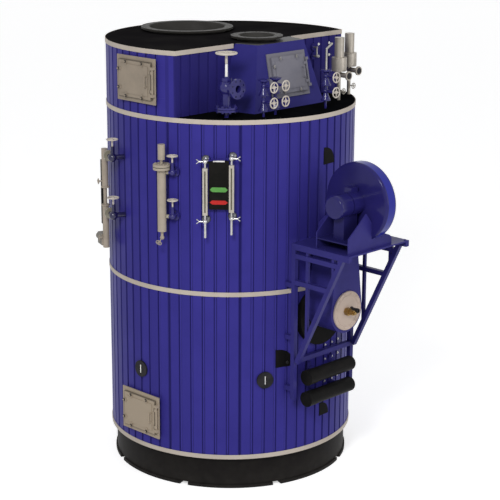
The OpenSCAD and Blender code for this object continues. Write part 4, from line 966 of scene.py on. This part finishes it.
def port_shade_sheet(turn, z, wide, high):
    """x = wide cos^0.85 t, h = high sin^0.85 t for a quarter turn of t, at the drum's radius plus a rise."""
    t = np.linspace(0, np.pi / 2, 30)
    fullness = 0.85
    pole = 0.4
    x = np.append(np.cos(t) ** fullness, 0.0) - pole
    h = np.append(np.sin(t) ** fullness, 0.0) - pole
    grow = np.array([0.0, 1.0, 1.0, 0.97, 0.0])[:, None]
    rise = np.array([-0.012, -0.012, 0.002, 0.004, 0.004])[:, None]
    angle = turn + wide * (grow * x - 0.1) / crest_r
    far = np.broadcast_to(crest_r + rise, angle.shape)
    points = np.stack([far * np.sin(angle), -far * np.cos(angle), z + high * (grow * h - 0.1)], axis=2)
    return points.reshape(-1, 3), grid_faces(5, 31, wrap_cols=True)


def drum_stud(turn, z, r):
    """A round stud with a chamfered end that stands on the drum."""
    stud = lathe([(0, 0), (r, 0), (r, 0.014), (0.7 * r, 0.018), (0, 0.018)], 16)
    return row(stud, round_drum((0.0, -crest_r, z), turn), facing(round_drum((0.0, -1.0, 0.0), turn)))


port_list = [(4.27, 3.155, 0.154, 0.160), (3.7, 0.673, 0.139, 0.133), (-19.9, 1.283, 0.184, 0.176)]
# Painted shade: black sheets over the ports stand for the shade in their openings.
port_shades = [port_shade_sheet(math.radians(a), z, wide, high) for a, z, wide, high in port_list]
piece("port_shade_sheets", port_shades, opening_shade_black)
drain_plug = drum_stud(math.radians(-18.8), 1.238, 0.015)
drain_knob = drum_stud(math.radians(-16.06), 1.198, 0.007)
piece("drain_plug", [drain_plug], plug_iron)
piece("drain_knob", [drain_knob], bright_steel)

# %% [markdown]
# ## Sleeves of the uptakes and mouths of the safety valves
# A thin sleeve hangs in the bore of each uptake, a lathe with the profile of a tube wall, painted lighter
# than the uptake's rim as painted light on the inner wall. A thin dark disc of painted shade on each safety
# valve's outlet flange stands for the shade in its open mouth.

# %% Sleeves and mouths
uptake_bores = {"exhaust_uptake": 0.378, "furnace_uptake": 0.173}
sleeve_gap = 0.002
sleeve_thick = 0.008
sleeve_long = 0.260
rim_drop = 0.004
sleeves = []
for uptake, bore in uptake_bores.items():
    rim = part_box(uptake)[1].z - rim_drop
    outer = bore - sleeve_gap
    sleeve = lathe(tube_profile(outer - sleeve_thick, outer, rim - sleeve_long, rim), 96)
    uptake_x, uptake_y, _ = middle(uptake)
    sleeves.append(row(sleeve, (uptake_x, uptake_y, 0.0), up))
piece("uptake_sleeves", sleeves, sleeve_lit_steel)

mouth_r = 0.031
mouth_thick = 0.0015
outlet_out = 0.128
outlet_z = deck_top + 0.243
safety_axes = ((0.6605, -0.7954), (0.9752, -0.6504))
# Painted shade: the thin dark disc stands for the shade inside each outlet's open mouth.
mouth = lathe([(0, 0), (mouth_r, 0), (mouth_r, mouth_thick), (0, mouth_thick)], 28)
mouths = [(x, y - outlet_out, outlet_z) for x, y in safety_axes]
piece("safety_outlet_shades", [row(mouth, mouths, out)], plug_iron)

# %% [markdown]
# ## The burner's side fitting
# To the right of the brass lance a dark fitting closes the ignition port: a lathe with a foot, a straight
# body and a collar round a hollow mouth.

# %% Burner fitting
nipple = lathe([(0, 0), (0.026, 0), (0.026, 0.010), (0.021, 0.013), (0.021, 0.060), (0.024, 0.063),
                (0.024, 0.084), (0.019, 0.090), (0.012, 0.090), (0.012, 0.070), (0, 0.070)], 24)
nipple_at = (0.050, plate_y, plate_z + 0.004)
piece("burner_fitting", [row(nipple, nipple_at, out)], plug_iron)

# %% [markdown]
# ## Nuts on the handwheels
# A nut on a washer holds each handwheel on its spindle. It turns with the wheel, so every nut is a piece of
# its own that rides on that wheel's body, at the middle of the wheel's outer face.

# %% Wheel nuts
for joint in frame["joints"]:
    wheel = joint["child"]
    if "wheel" not in wheel:
        continue
    hub = middle(wheel)
    low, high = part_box(wheel)
    size = 0.014 if wheel == "main_wheel" else 0.009
    if abs(joint["axis"][2]) > 0.5:
        spot = (hub[0], hub[1], high.z)
        turn = up
    else:
        spot = (hub[0], low.y, hub[2])
        turn = out
    piece(wheel + "_nut", [row(hex_bolt(size, 0.8 * size), spot, turn)], wheel_cream, wheel)

# %% [markdown]
# ## Clamp nuts of the doors
# Six clamps press each inspection door on its frame, each with a nut on a stud. A door's own frame follows
# from its hinge: z along the pin, y into the boiler, x towards the hinge. The nuts ride on the leaf.

# %% Door nuts
hinge_x = 0.241
hinge_out = 0.020
leaf_face = 0.019
clamp_face = 0.014
clamps = np.array([(-0.1085, 0.1555), (0.1085, 0.1555), (-0.1085, -0.1555), (0.1085, -0.1555),
                   (-0.203, 0.08475), (-0.203, -0.08475)])
clamp_nut = hex_bolt(0.0125, 0.009, 1.2)
for joint in frame["joints"]:
    door = joint["child"]
    if "door" not in door:
        continue
    door_up = np.array(joint["axis"], float)
    door_x = np.array([1.0, 0.0, 0.0]) if door == "hood_door" else np.array([0.0, -1.0, 0.0])
    door_in = np.cross(door_up, door_x)
    centre = np.array(joint["pos_m"], float) - hinge_x * door_x + hinge_out * door_in
    face = centre - (leaf_face + clamp_face) * door_in
    spots = face + clamps[:, :1] * door_x + clamps[:, 1:] * door_up
    nuts = row(clamp_nut, spots, facing(-door_in))
    nut_finish = bare_steel if door == "hood_door" else clamp_dark
    piece(door + "_nuts", [nuts], nut_finish, door)

# %% [markdown]
